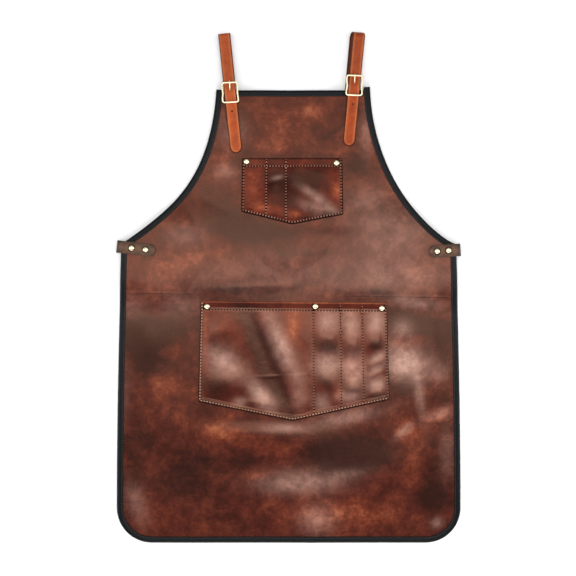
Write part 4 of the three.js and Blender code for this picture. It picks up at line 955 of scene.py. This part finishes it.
def strip(name, path, section, width, start_radius, end_radius, step=2.5):
    """A flat strip with rounded ends through a path. The section is (share of half width, height)."""
    middle, side, normal = path
    at = np.concatenate([[0], np.cumsum(np.linalg.norm(np.diff(middle, axis=0), axis=1))])
    total = at[-1]
    shares = np.array([0.004, 0.03, 0.09, 0.18, 0.32, 0.5, 0.72, 1.0])
    inner = np.arange(start_radius, total - end_radius, step)
    corners = at[(at > start_radius) & (at < total - end_radius)]
    inner = np.array(sorted({round(v, 2) for v in [*inner, *corners]}))
    inner = inner[np.concatenate([[True], np.diff(inner) > 0.25])]
    stations = np.concatenate([start_radius * shares[:-1], inner, (total - end_radius * shares)[::-1]])
    stations = np.unique(stations)

    def at_stations(values):
        return np.stack([np.interp(stations, at, values[:, k]) for k in range(3)], axis=1)

    middle, side, normal = at_stations(middle), at_stations(side), at_stations(normal)
    side = side / np.linalg.norm(side, axis=1)[:, None]
    normal = normal / np.linalg.norm(normal, axis=1)[:, None]

    def rounding(distance, radius):
        inside = np.clip(radius - distance, 0, radius)
        return radius - np.sqrt(radius ** 2 - inside ** 2)

    half = width / 2 - rounding(stations, start_radius) - rounding(total - stations, end_radius)
    rings = []
    for share, height in section:
        over = np.clip(1 - (1 - abs(share)) * (width / 2) / np.maximum(half, 0.2), 0, 1) * np.sign(share)
        rings.append(middle + side * (over * half)[:, None] + normal * height)
    return sweep(name, np.stack(rings, axis=1))


def strip_section(width, thickness, edge, crease=0.0, crease_at=2.0):
    """Half widths and heights round a strip with softened edges and a pressed line near each edge."""
    half, h = width / 2, thickness / 2
    line = [(half, 0), (half - 0.1 * edge, 0.6 * h), (half - 0.5 * edge, 0.92 * h), (half - edge, h)]
    if crease:
        line += [(half - crease_at + 0.5, h), (half - crease_at, h - crease), (half - crease_at - 0.5, h)]
    line += [(half * 0.4, h * 1.03)]
    top = line + [(-a, b) for a, b in line[::-1]]
    low = [(-half + 0.1 * edge, -0.6 * h), (-half + edge, -h), (0, -h), (half - edge, -h),
           (half - 0.1 * edge, -0.6 * h)]
    return [(a / half, b) for a, b in top + low]


# The hide's leather in narrow strips: the wax dulls where it is handled, and it waves little
anchor_width, anchor_radius = 21, 9
anchor_material = pull_up_leather("waxed_pull_up_strip", pull_up_stops, -0.7, 1.4, 0.35, 0.42, 20, 0.1)
for name, side in sides.items():
    bar, up = bar_of(side), up_of(side, side["frame_tilt"])
    side["base"] = float(sheet_top(bar[0], min(bar[1], body_height - 2)))
    length, base = side["anchor_length"], side["base"]
    half = anchor_thickness / 2
    wrap = bar_radius + gap + half

    def past_binding(at):
        return smoothstep(body_height - (bar[1] + at * up[1]), 13.2, 33)

    def low_leg(at):
        return base + anchor_low + (gap - anchor_low) * past_binding(at) + half

    def high_leg(at):
        down = smoothstep(-at, 0, 14)
        rising = (bar_height + wrap - half) * (1 - down) + (anchor_low + anchor_thickness + gap) * down
        return base + rising - (anchor_low - gap) * past_binding(at) * down + half

    reach = -np.linspace(1, 0.04, 26) * length
    places = np.concatenate([
        np.column_stack([reach, low_leg(reach)]),
        turn_places(0, base + bar_height, wrap, -90, 90, 10),
        np.column_stack([reach[::-1], high_leg(reach[::-1])]),
    ])
    path = upright_path(places, bar, up, np.array([up[1], -up[0]]))
    section = strip_section(anchor_width, anchor_thickness, 0.5)
    anchor = strip(f"anchor_{name}", path, section, anchor_width, anchor_radius, anchor_radius)
    smooth(anchor)
    attach(anchor, anchor_material, "body_leather", f"buckle_anchor_{name}")
    point = bar + (rivet_from_end - length) * up
    on_top = base + 2 * (gap + anchor_thickness)
    rivet_places[f"anchor_rivet_{name}"] = (*point, float(sheet_back(*point)), on_top)

# The shoulder straps
# Bridle leather, 21 mm wide, with creased lines near its edges and burnished edges. Each goes up from its
# tail through the buckle, folds back over and runs down behind the apron to the tab of the other side.


def level_between(rows, at):
    """Heights between the rows of a table, level at each row."""
    rows = np.asarray(rows, float)
    i = np.clip(np.searchsorted(rows[:, 0], at, side="right") - 1, 0, len(rows) - 2)
    share = smoothstep(at, rows[i, 0], rows[i + 1, 0])
    return rows[i, 1] * (1 - share) + rows[i + 1, 1] * share


# Vegetable tanned bridle leather, dyed orange tan and waxed: rather even and faintly clouded, the right
# strap a little darker. Its edges are darker, burnished and with a painted shadow line along them, and a
# painted highlight runs along its creased lines.
strap_leathers = {}
for name, (deep, main, light) in {
    "left": ("#8e3a1a", "#a64a24", "#b8582e"), "right": ("#823014", "#983e1a", "#aa4b22"),
}.items():
    finish, shader = new_finish(f"waxed_bridle_leather_{name}")
    place = add_node(finish, "ShaderNodeTexCoord").outputs["Object"]
    clouds = add_node(finish, "ShaderNodeTexNoise", Vector=place, Scale=1000 / 14, Detail=5.0, Roughness=0.6)
    ramp = add_node(finish, "ShaderNodeValToRGB", Fac=clouds.outputs["Fac"])
    ramp.color_ramp.elements.new(0.5)
    shades = [(0.25, deep), (0.52, main), (0.8, light)]
    for element, (position, colour) in zip(ramp.color_ramp.elements, shades):
        element.position = position
        element.color = linear(colour)
    edge = add_node(finish, "ShaderNodeAttribute", {"attribute_name": "edge"}).outputs["Fac"]
    crease = add_node(finish, "ShaderNodeAttribute", {"attribute_name": "crease"}).outputs["Fac"]
    crease_highlight = add_node(finish, "ShaderNodeMix", {"data_type": "RGBA"}, _0=crease, _6=ramp.outputs["Color"],
                      _7=linear("#cf8253"))
    burnish_and_shade = add_node(finish, "ShaderNodeMix", {"data_type": "RGBA"}, _0=edge, _6=crease_highlight.outputs[2],
                         _7=linear("#2c0d05"))
    finish.node_tree.links.new(burnish_and_shade.outputs[2], shader.inputs["Base Color"])
    shader.inputs["Roughness"].default_value = 0.42
    shader.inputs["Specular IOR Level"].default_value = 0.3
    shader.inputs["Specular Tint"].default_value = linear("#ffd2bb")
    grain = fine_grain(finish, place, 0.9, 0.03, 6, 0.05)
    finish.node_tree.links.new(grain.outputs["Normal"], shader.inputs["Normal"])
    strap_leathers[name] = finish


def cut_hole(piece, point, low, high, radius):
    """A punched hole through a piece, cut with a cylinder."""
    bpy.ops.object.select_all(action="DESELECT")
    centre = in_frame([point[0], point[1], (low + high) / 2])
    bpy.ops.mesh.primitive_cylinder_add(vertices=20, radius=radius * 0.001, depth=(high - low) * 0.001,
                                        location=centre)
    punch = bpy.context.object
    cut = piece.modifiers.new("hole", "BOOLEAN")
    cut.operation = "DIFFERENCE"
    cut.object = punch
    cut.solver = "EXACT"
    select_only(piece)
    bpy.ops.object.modifier_apply(modifier=cut.name)
    bpy.data.objects.remove(punch)


# The prong's holes in the tail lie 41 mm apart, the upper one 8 mm above the buckle's bar
tail_length, hole_above, hole_spacing, hole_radius = 106, 8, 41, 1.7
tail_radius, hidden_radius = 9.8, 4.2

# The strap's hidden end lies on the back leg of the tab, and what is below 5.5 mm is the run behind
strap_in_tab, behind_below = 3.2, 5.5
for name, side in sides.items():
    bar, up = bar_of(side), up_of(side, side["lean"])
    across = np.array([up[1], -up[0]])
    base, half = side["base"], strap_thickness / 2
    loop_radius = (side["loop_height"] - strap_thickness) / 2
    loop_at = side["fold_above"] - loop_radius - half
    rivet_at = rivet_from_end - side["anchor_length"]
    table = [
        (-tail_length, base + gap), (-side["anchor_length"] - 16, base + gap),
        (rivet_at - 3, base + strap_over_rivet), (rivet_at + 3, base + strap_over_rivet),
        (-end_bar_at, base + strap_under_ends), (0, base + strap_over_bar),
        (end_bar_at, base + strap_under_ends), (loop_at, side["loop_height"] - strap_thickness),
    ]
    front = np.linspace(-tail_length, loop_at, 90)[:-1]
    places = np.concatenate([
        np.column_stack([front, level_between(table, front) + half]),
        turn_places(loop_at, side["loop_height"] / 2, loop_radius, 90, -90, 18),
    ])
    middle, across_path, normal = upright_path(places, bar, up, across)
    turned = smoothstep(np.linspace(0, 1, 19), 0, 1)
    middle[-19:] -= across_path[-19:] * (side["loop_shift"] * turned)[:, None]
    run = runs[name]
    ahead = np.gradient(run, axis=0)
    ahead = ahead / np.linalg.norm(ahead, axis=1)[:, None]
    to_end = (len(run) - 1 - np.arange(len(run))) * np.linalg.norm(run[1] - run[0])
    over = 1 - smoothstep(np.hypot(*(run - crossing).T), 25, 85) if name == "left" else np.zeros(len(run))
    at_tab = 1 - smoothstep(to_end, 60, 119)
    height = half + np.maximum((strap_thickness + gap) * over, strap_in_tab * at_tab)
    middle = np.concatenate([middle, np.column_stack([run, height])])
    run_side = np.column_stack([-ahead[:, 1], ahead[:, 0], np.zeros(len(run))])
    across_path = np.concatenate([across_path, run_side])
    normal = np.concatenate([normal, np.tile([0.0, 0.0, -1.0], (len(run), 1))])
    section = strip_section(strap_width, strap_thickness, 0.9, 0.25, 2.6)
    path = (middle, across_path, normal)
    strap = strip(f"strap_{name}", path, section, strap_width, tail_radius, hidden_radius)
    for reach, low in ((hole_above - hole_spacing, base + 1), (hole_above, base + 4)):
        cut_hole(strap, bar + reach * up, low, base + 30, hole_radius)
    smooth(strap, 40)
    spots = places_of(strap)
    off = np.abs((spots[:, :2] - bar) @ across)
    along = (spots[:, :2] - bar) @ up
    end = np.hypot(off, np.maximum(0, -tail_length + tail_radius - along))
    rim = np.where(along < -tail_length + tail_radius, end + (strap_width / 2 - tail_radius), off)
    behind = (spots[:, 2] < behind_below) & (along < 0)
    rim = np.where(behind, distance_to(run, spots[:, 0], spots[:, 1]), rim)
    # The rim is dark: the burnished edge, drawn wide enough to stand also as a painted shadow line
    dark_rim = smoothstep(rim, strap_width / 2 - 1.6, strap_width / 2 - 0.5)
    # The strap is drawn a little darker above the buckle
    darker_above_buckle = 0.16 * smoothstep(along, 4, 22)
    paint(strap, "edge", np.maximum(dark_rim, darker_above_buckle))
    # A painted highlight along each creased line
    paint(strap, "crease", 0.75 * np.exp(-((rim - strap_width / 2 + 2.6) / 0.5) ** 2))
    attach(strap, strap_leathers[name], "strap_leather", f"shoulder_strap_{name}")

# The buckles
# Cast brass centre bar buckles: a rounded frame pinched at the middle, a low bar across it that the
# anchor wraps, and a prong that comes up through the strap and rests on the upper end.

# Polished cast brass, pale and bright, a little uneven and duller where polish has gathered
polished_brass, shader = new_finish("polished_brass")
place = add_node(polished_brass, "ShaderNodeTexCoord").outputs["Object"]
patches = add_node(polished_brass, "ShaderNodeTexNoise", Vector=place, Scale=1000 / 4, Detail=4.0)
shade = add_node(polished_brass, "ShaderNodeMix", {"data_type": "RGBA"}, _0=patches.outputs["Fac"],
                 _6=linear("#fff6dc"), _7=linear("#efdcae"))
polished_brass.node_tree.links.new(shade.outputs[2], shader.inputs["Base Color"])
shader.inputs["Metallic"].default_value = 1.0
polish = add_node(polished_brass, "ShaderNodeMapRange", Value=patches.outputs["Fac"], To_Min=0.26,
                  To_Max=0.4)
polished_brass.node_tree.links.new(polish.outputs["Result"], shader.inputs["Roughness"])


def turned_in_place(piece, side, base):
    """Turns a piece made flat at the origin to a buckle's lean and sets it down at the centre bar."""
    turn = -side["sign"] * math.radians(side["frame_tilt"])
    c, s = math.cos(turn), math.sin(turn)
    flat = np.array([v.co for v in piece.data.vertices]) * 1000
    bar = bar_of(side)
    x = flat[:, 0] * c - flat[:, 1] * s + bar[0]
    y = flat[:, 0] * s + flat[:, 1] * c + bar[1]
    moved = in_frame(np.column_stack([x, y, flat[:, 2] + base]))
    piece.data.vertices.foreach_set("co", moved.ravel())
    piece.data.update()


def wire(name, points, radii):
    """A round wire through places in millimetres, with a radius at each."""
    data = bpy.data.curves.new(name, "CURVE")
    data.dimensions = "3D"
    data.bevel_depth = 0.001
    data.bevel_resolution = 4
    data.use_fill_caps = True
    spline = data.splines.new("POLY")
    spline.points.add(len(points) - 1)
    for knot, place, radius in zip(spline.points, points, radii):
        knot.co = (*(np.asarray(place, float) * 0.001), 1)
        knot.radius = radius
    piece = bpy.data.objects.new(name, data)
    bpy.context.scene.collection.objects.link(piece)
    select_only(piece)
    bpy.ops.object.convert(target="MESH")
    return bpy.context.object


half_x, half_y = frame_width / 2 - wire_radius, frame_length / 2 - wire_radius
pinch, prong_radius = 1.1, 0.8


def frame_ring():
    """The line of the frame: nearly a rectangle, with small round corners and pinched long sides."""
    turn = np.linspace(0, 2 * math.pi, 400, endpoint=False)
    c, s = np.cos(turn), np.sin(turn)
    squareness = 2 / 12
    px = half_x * np.sign(c) * np.abs(c) ** squareness
    py = half_y * np.sign(s) * np.abs(s) ** squareness
    long_side = np.abs(px) > half_x * 0.8
    px = px - np.where(long_side, np.sign(px) * pinch * np.exp(-(py / 6) ** 2), 0)
    ring = np.column_stack([px, py])
    return respaced(np.concatenate([ring, ring[:1]]), 1.1)[:-1]


def cast_frame(name, height):
    """The frame, with a section that is nearly square and softly rounded, so that its face is flat."""
    ring = frame_ring()
    ahead = np.roll(ring, -1, axis=0) - np.roll(ring, 1, axis=0)
    ahead = ahead / np.linalg.norm(ahead, axis=1)[:, None]
    out = np.column_stack([ahead[:, 1], -ahead[:, 0]])
    turn = np.linspace(0, 2 * math.pi, 16, endpoint=False)
    c, s = np.cos(turn), np.sin(turn)
    off = wire_radius * np.sign(c) * np.abs(c) ** 0.55
    up = wire_radius * np.sign(s) * np.abs(s) ** 0.55
    rings = np.stack([
        np.column_stack([ring + out * a, np.full(len(ring), height + b)]) for a, b in zip(off, up)
    ], axis=1)
    return sweep(name, rings - np.array([*origin[:2] * 1000, 0]), closed=True)


for name, side in sides.items():
    base = side["base"]
    outer = cast_frame(f"frame_{name}", end_bar_height)
    leg = half_x - pinch
    drop = np.array([(-leg, 0, end_bar_height), (-leg, 0, bar_height + 1), (-leg + 0.6, 0, bar_height + 0.2),
                     (-leg + 1.5, 0, bar_height), (0, 0, bar_height)])
    bar_points = np.concatenate([drop, (drop * [-1, 1, 1])[::-1][1:]])
    cross = wire(f"bar_{name}", bar_points, [bar_radius] * len(bar_points))
    select_only(outer)
    cross.select_set(True)
    bpy.ops.object.join()
    buckle = bpy.context.object
    buckle.name = f"frame_{name}"
    turned_in_place(buckle, side, base)
    smooth(buckle, 60)
    attach(buckle, polished_brass, "brass", f"buckle_frame_{name}")
    hook = bar_radius + gap + prong_radius
    turn = np.radians(np.linspace(-250, 60, 20))
    around = np.column_stack([np.zeros(20), hook * np.cos(turn), bar_height + hook * np.sin(turn)])
    rest = np.array([0, end_bar_at, end_bar_height + wire_radius + 1.1 + 0.3])
    tip = rest + np.array([0, 2.4, 0.05])
    tongue = bezier([around[-1], around[-1] + [0, 3, 3.4], rest - [0, 5, -0.2], tip], 14)[1:]
    points = np.concatenate([around, tongue])
    radii = np.concatenate([np.full(20, prong_radius), np.linspace(1.0, 1.05, 12), [0.95, 0.6]])
    prong = wire(f"prong_{name}", points, radii)
    turned_in_place(prong, side, base)
    smooth(prong, 60)
    attach(prong, polished_brass, "brass", f"buckle_prong_{name}")

# The side tabs
# Oiled olive brown nubuck, folded round the edge of the apron at the waist and riveted twice, with the
# end of a shoulder strap held between its back leg and the hide.

# Nubuck is leather sanded to a short nap, so it is dull, and the oil leaves it unevenly dark
tab_leather, shader = new_finish("oiled_nubuck_leather")
place = add_node(tab_leather, "ShaderNodeTexCoord").outputs["Object"]
clouds = add_node(tab_leather, "ShaderNodeTexNoise", Vector=place, Scale=1000 / 9, Detail=6.0, Roughness=0.7)
ramp = add_node(tab_leather, "ShaderNodeValToRGB", Fac=clouds.outputs["Fac"])
ramp.color_ramp.elements.new(0.5)
for element, (position, colour) in zip(ramp.color_ramp.elements,
                                       [(0.28, "#3a2211"), (0.5, "#5f3a1e"), (0.75, "#7c4e2c")]):
    element.position = position
    element.color = linear(colour)
edge = add_node(tab_leather, "ShaderNodeAttribute", {"attribute_name": "edge"}).outputs["Fac"]
burnish_and_shade = add_node(tab_leather, "ShaderNodeMix", {"data_type": "RGBA"}, _0=edge, _6=ramp.outputs["Color"],
                     _7=linear("#1e1007"))
tab_leather.node_tree.links.new(burnish_and_shade.outputs[2], shader.inputs["Base Color"])
shader.inputs["Roughness"].default_value = 0.5
grain = fine_grain(tab_leather, place, 1.0, 0.08, 5, 0.2)
tab_leather.node_tree.links.new(grain.outputs["Normal"], shader.inputs["Normal"])

tab_thickness, tab_width, tab_radius = 1.8, 22, 10
tab_back = 1.1
tab_front = tab_level + leather + anchor_low
for name, side in sides.items():
    outer, inward = tab_line(side)
    length = side["tab_length"]
    high, low = tab_front + tab_thickness / 2, tab_back + tab_thickness / 2
    radius = (high - low) / 2
    fold_at = radius + tab_thickness / 2
    reach = -np.linspace(1, 0.16, 18) * length
    places = np.concatenate([
        np.column_stack([reach, np.full(18, low)]),
        turn_places(-fold_at, (high + low) / 2, radius, -90, 90, 14),
        np.column_stack([reach[::-1], np.full(18, high)]),
    ])
    out = -inward
    path = upright_path(places, outer, out, np.array([out[1], -out[0]]))
    section = strip_section(tab_width, tab_thickness, 0.7, 0.2, 2.6)
    tab = strip(f"tab_{name}", path, section, tab_width, tab_radius, tab_radius)
    smooth(tab, 40)
    spots = places_of(tab)
    off = np.abs((spots[:, :2] - outer) @ np.array([out[1], -out[0]]))
    along = (spots[:, :2] - outer) @ inward
    straight = length - tab_radius
    end = np.hypot(off, np.maximum(0, along - straight)) + tab_width / 2 - tab_radius
    rim = np.where(along > straight, end, off)
    # Darker at the burnished edges and the pressed line, with painted shade where the tab turns round its
    # fold
    dark_rim = smoothstep(rim, tab_width / 2 - 1.8, tab_width / 2)
    fold_shade = 0.6 * (1 - smoothstep(along, 3, 9))
    pressed_line = 0.35 * np.exp(-((rim - tab_width / 2 + 2.6) / 0.5) ** 2)
    paint(tab, "edge", np.clip(dark_rim * 0.8 + fold_shade + pressed_line, 0, 1))
    attach(tab, tab_leather, "tab_leather", f"side_tab_{name}")
    for k, share in enumerate(tab_rivet_shares, 1):
        point = outer + inward * length * (1 - share)
        rivet_places[f"tab_rivet_{name}_{k}"] = (*point, tab_back, tab_front + tab_thickness)

# The rivets
# Brass double cap rivets: a domed cap on the face and a flat cap on the back, pressed together through
# the leather, which dips a little round each cap. The dip is drawn as a painted shadow ring.
rivet_radius = 4.75

# The cap is a ball cut in half and flattened, with a rim drawn in under it and a shank drawn down
bpy.ops.object.select_all(action="DESELECT")
bpy.ops.mesh.primitive_uv_sphere_add(segments=32, ring_count=20, radius=rivet_radius * 0.001)
cap = bpy.context.object
bpy.ops.object.mode_set(mode="EDIT")
bpy.ops.mesh.select_all(action="SELECT")
bpy.ops.mesh.bisect(plane_co=(0, 0, 0), plane_no=(0, 0, 1), use_fill=True, clear_inner=True)
bpy.ops.mesh.select_all(action="SELECT")
bpy.ops.transform.resize(value=(1, 1, 0.4), center_override=(0, 0, 0))
bpy.ops.object.mode_set(mode="OBJECT")
for face in cap.data.polygons:
    face.select = face.normal.z < -0.9
bpy.ops.object.mode_set(mode="EDIT")
bpy.ops.mesh.select_mode(type="FACE")
bpy.ops.mesh.extrude_region_move(TRANSFORM_OT_translate={"value": (0, 0, -0.0004)})
bpy.ops.transform.resize(value=(0.93, 0.93, 1), center_override=(0, 0, 0))
bpy.ops.mesh.inset(thickness=0.003)
bpy.ops.mesh.extrude_region_move(TRANSFORM_OT_translate={"value": (0, 0, -0.001)})
bpy.ops.object.mode_set(mode="OBJECT")
cap_points = np.array([v.co for v in cap.data.vertices]) * 1000
cap_faces = [list(p.vertices) for p in cap.data.polygons]
bpy.data.objects.remove(cap)

# The leather round each cap is pressed down, and a thin bevelled ring of matt black under the cap is a
# painted shadow there. The anchors' rivets have none, because they are under the straps' tails.
bpy.ops.object.select_all(action="DESELECT")
bpy.ops.mesh.primitive_cylinder_add(vertices=32, radius=(rivet_radius + 1.4) * 0.001, depth=0.0006)
ring_piece = bpy.context.object
bevel = ring_piece.modifiers.new("soft", "BEVEL")
bevel.width = 0.0002
bevel.segments = 2
bpy.ops.object.modifier_apply(modifier=bevel.name)
ring_points = np.array([v.co for v in ring_piece.data.vertices]) * 1000
ring_faces = [list(p.vertices) for p in ring_piece.data.polygons]
bpy.data.objects.remove(ring_piece)
for name, (x, y, low, high) in rivet_places.items():
    if name.startswith("anchor"):
        continue
    shadow_ring = new_piece(name + "_ring", ring_points + [x, y, high + 0.15], ring_faces)
    attach(shadow_ring, edge_paint_and_shadow, "tab_leather" if name.startswith("tab") else "pocket_leather")

# Each rivet is the cap with its shank drawn through to the back, and the same cap turned over and flatter
cap_seat = 0.35
for name, (x, y, low, high) in rivet_places.items():
    points = cap_points.copy()
    shank = points[:, 2] < -0.9
    points[shank, 2] = low - high - 0.3
    back_cap = cap_points * [1, -1, -0.45]
    back_cap[:, 2] += low - high - 0.55
    both = np.concatenate([points + [x, y, high + cap_seat], back_cap + [x, y, high + cap_seat]])
    back_faces = [[k + len(points) for k in face] for face in cap_faces]
    rivet = new_piece(name + "_cap", both, cap_faces + back_faces)
    smooth(rivet, 45)
    attach(rivet, polished_brass, "brass", name)
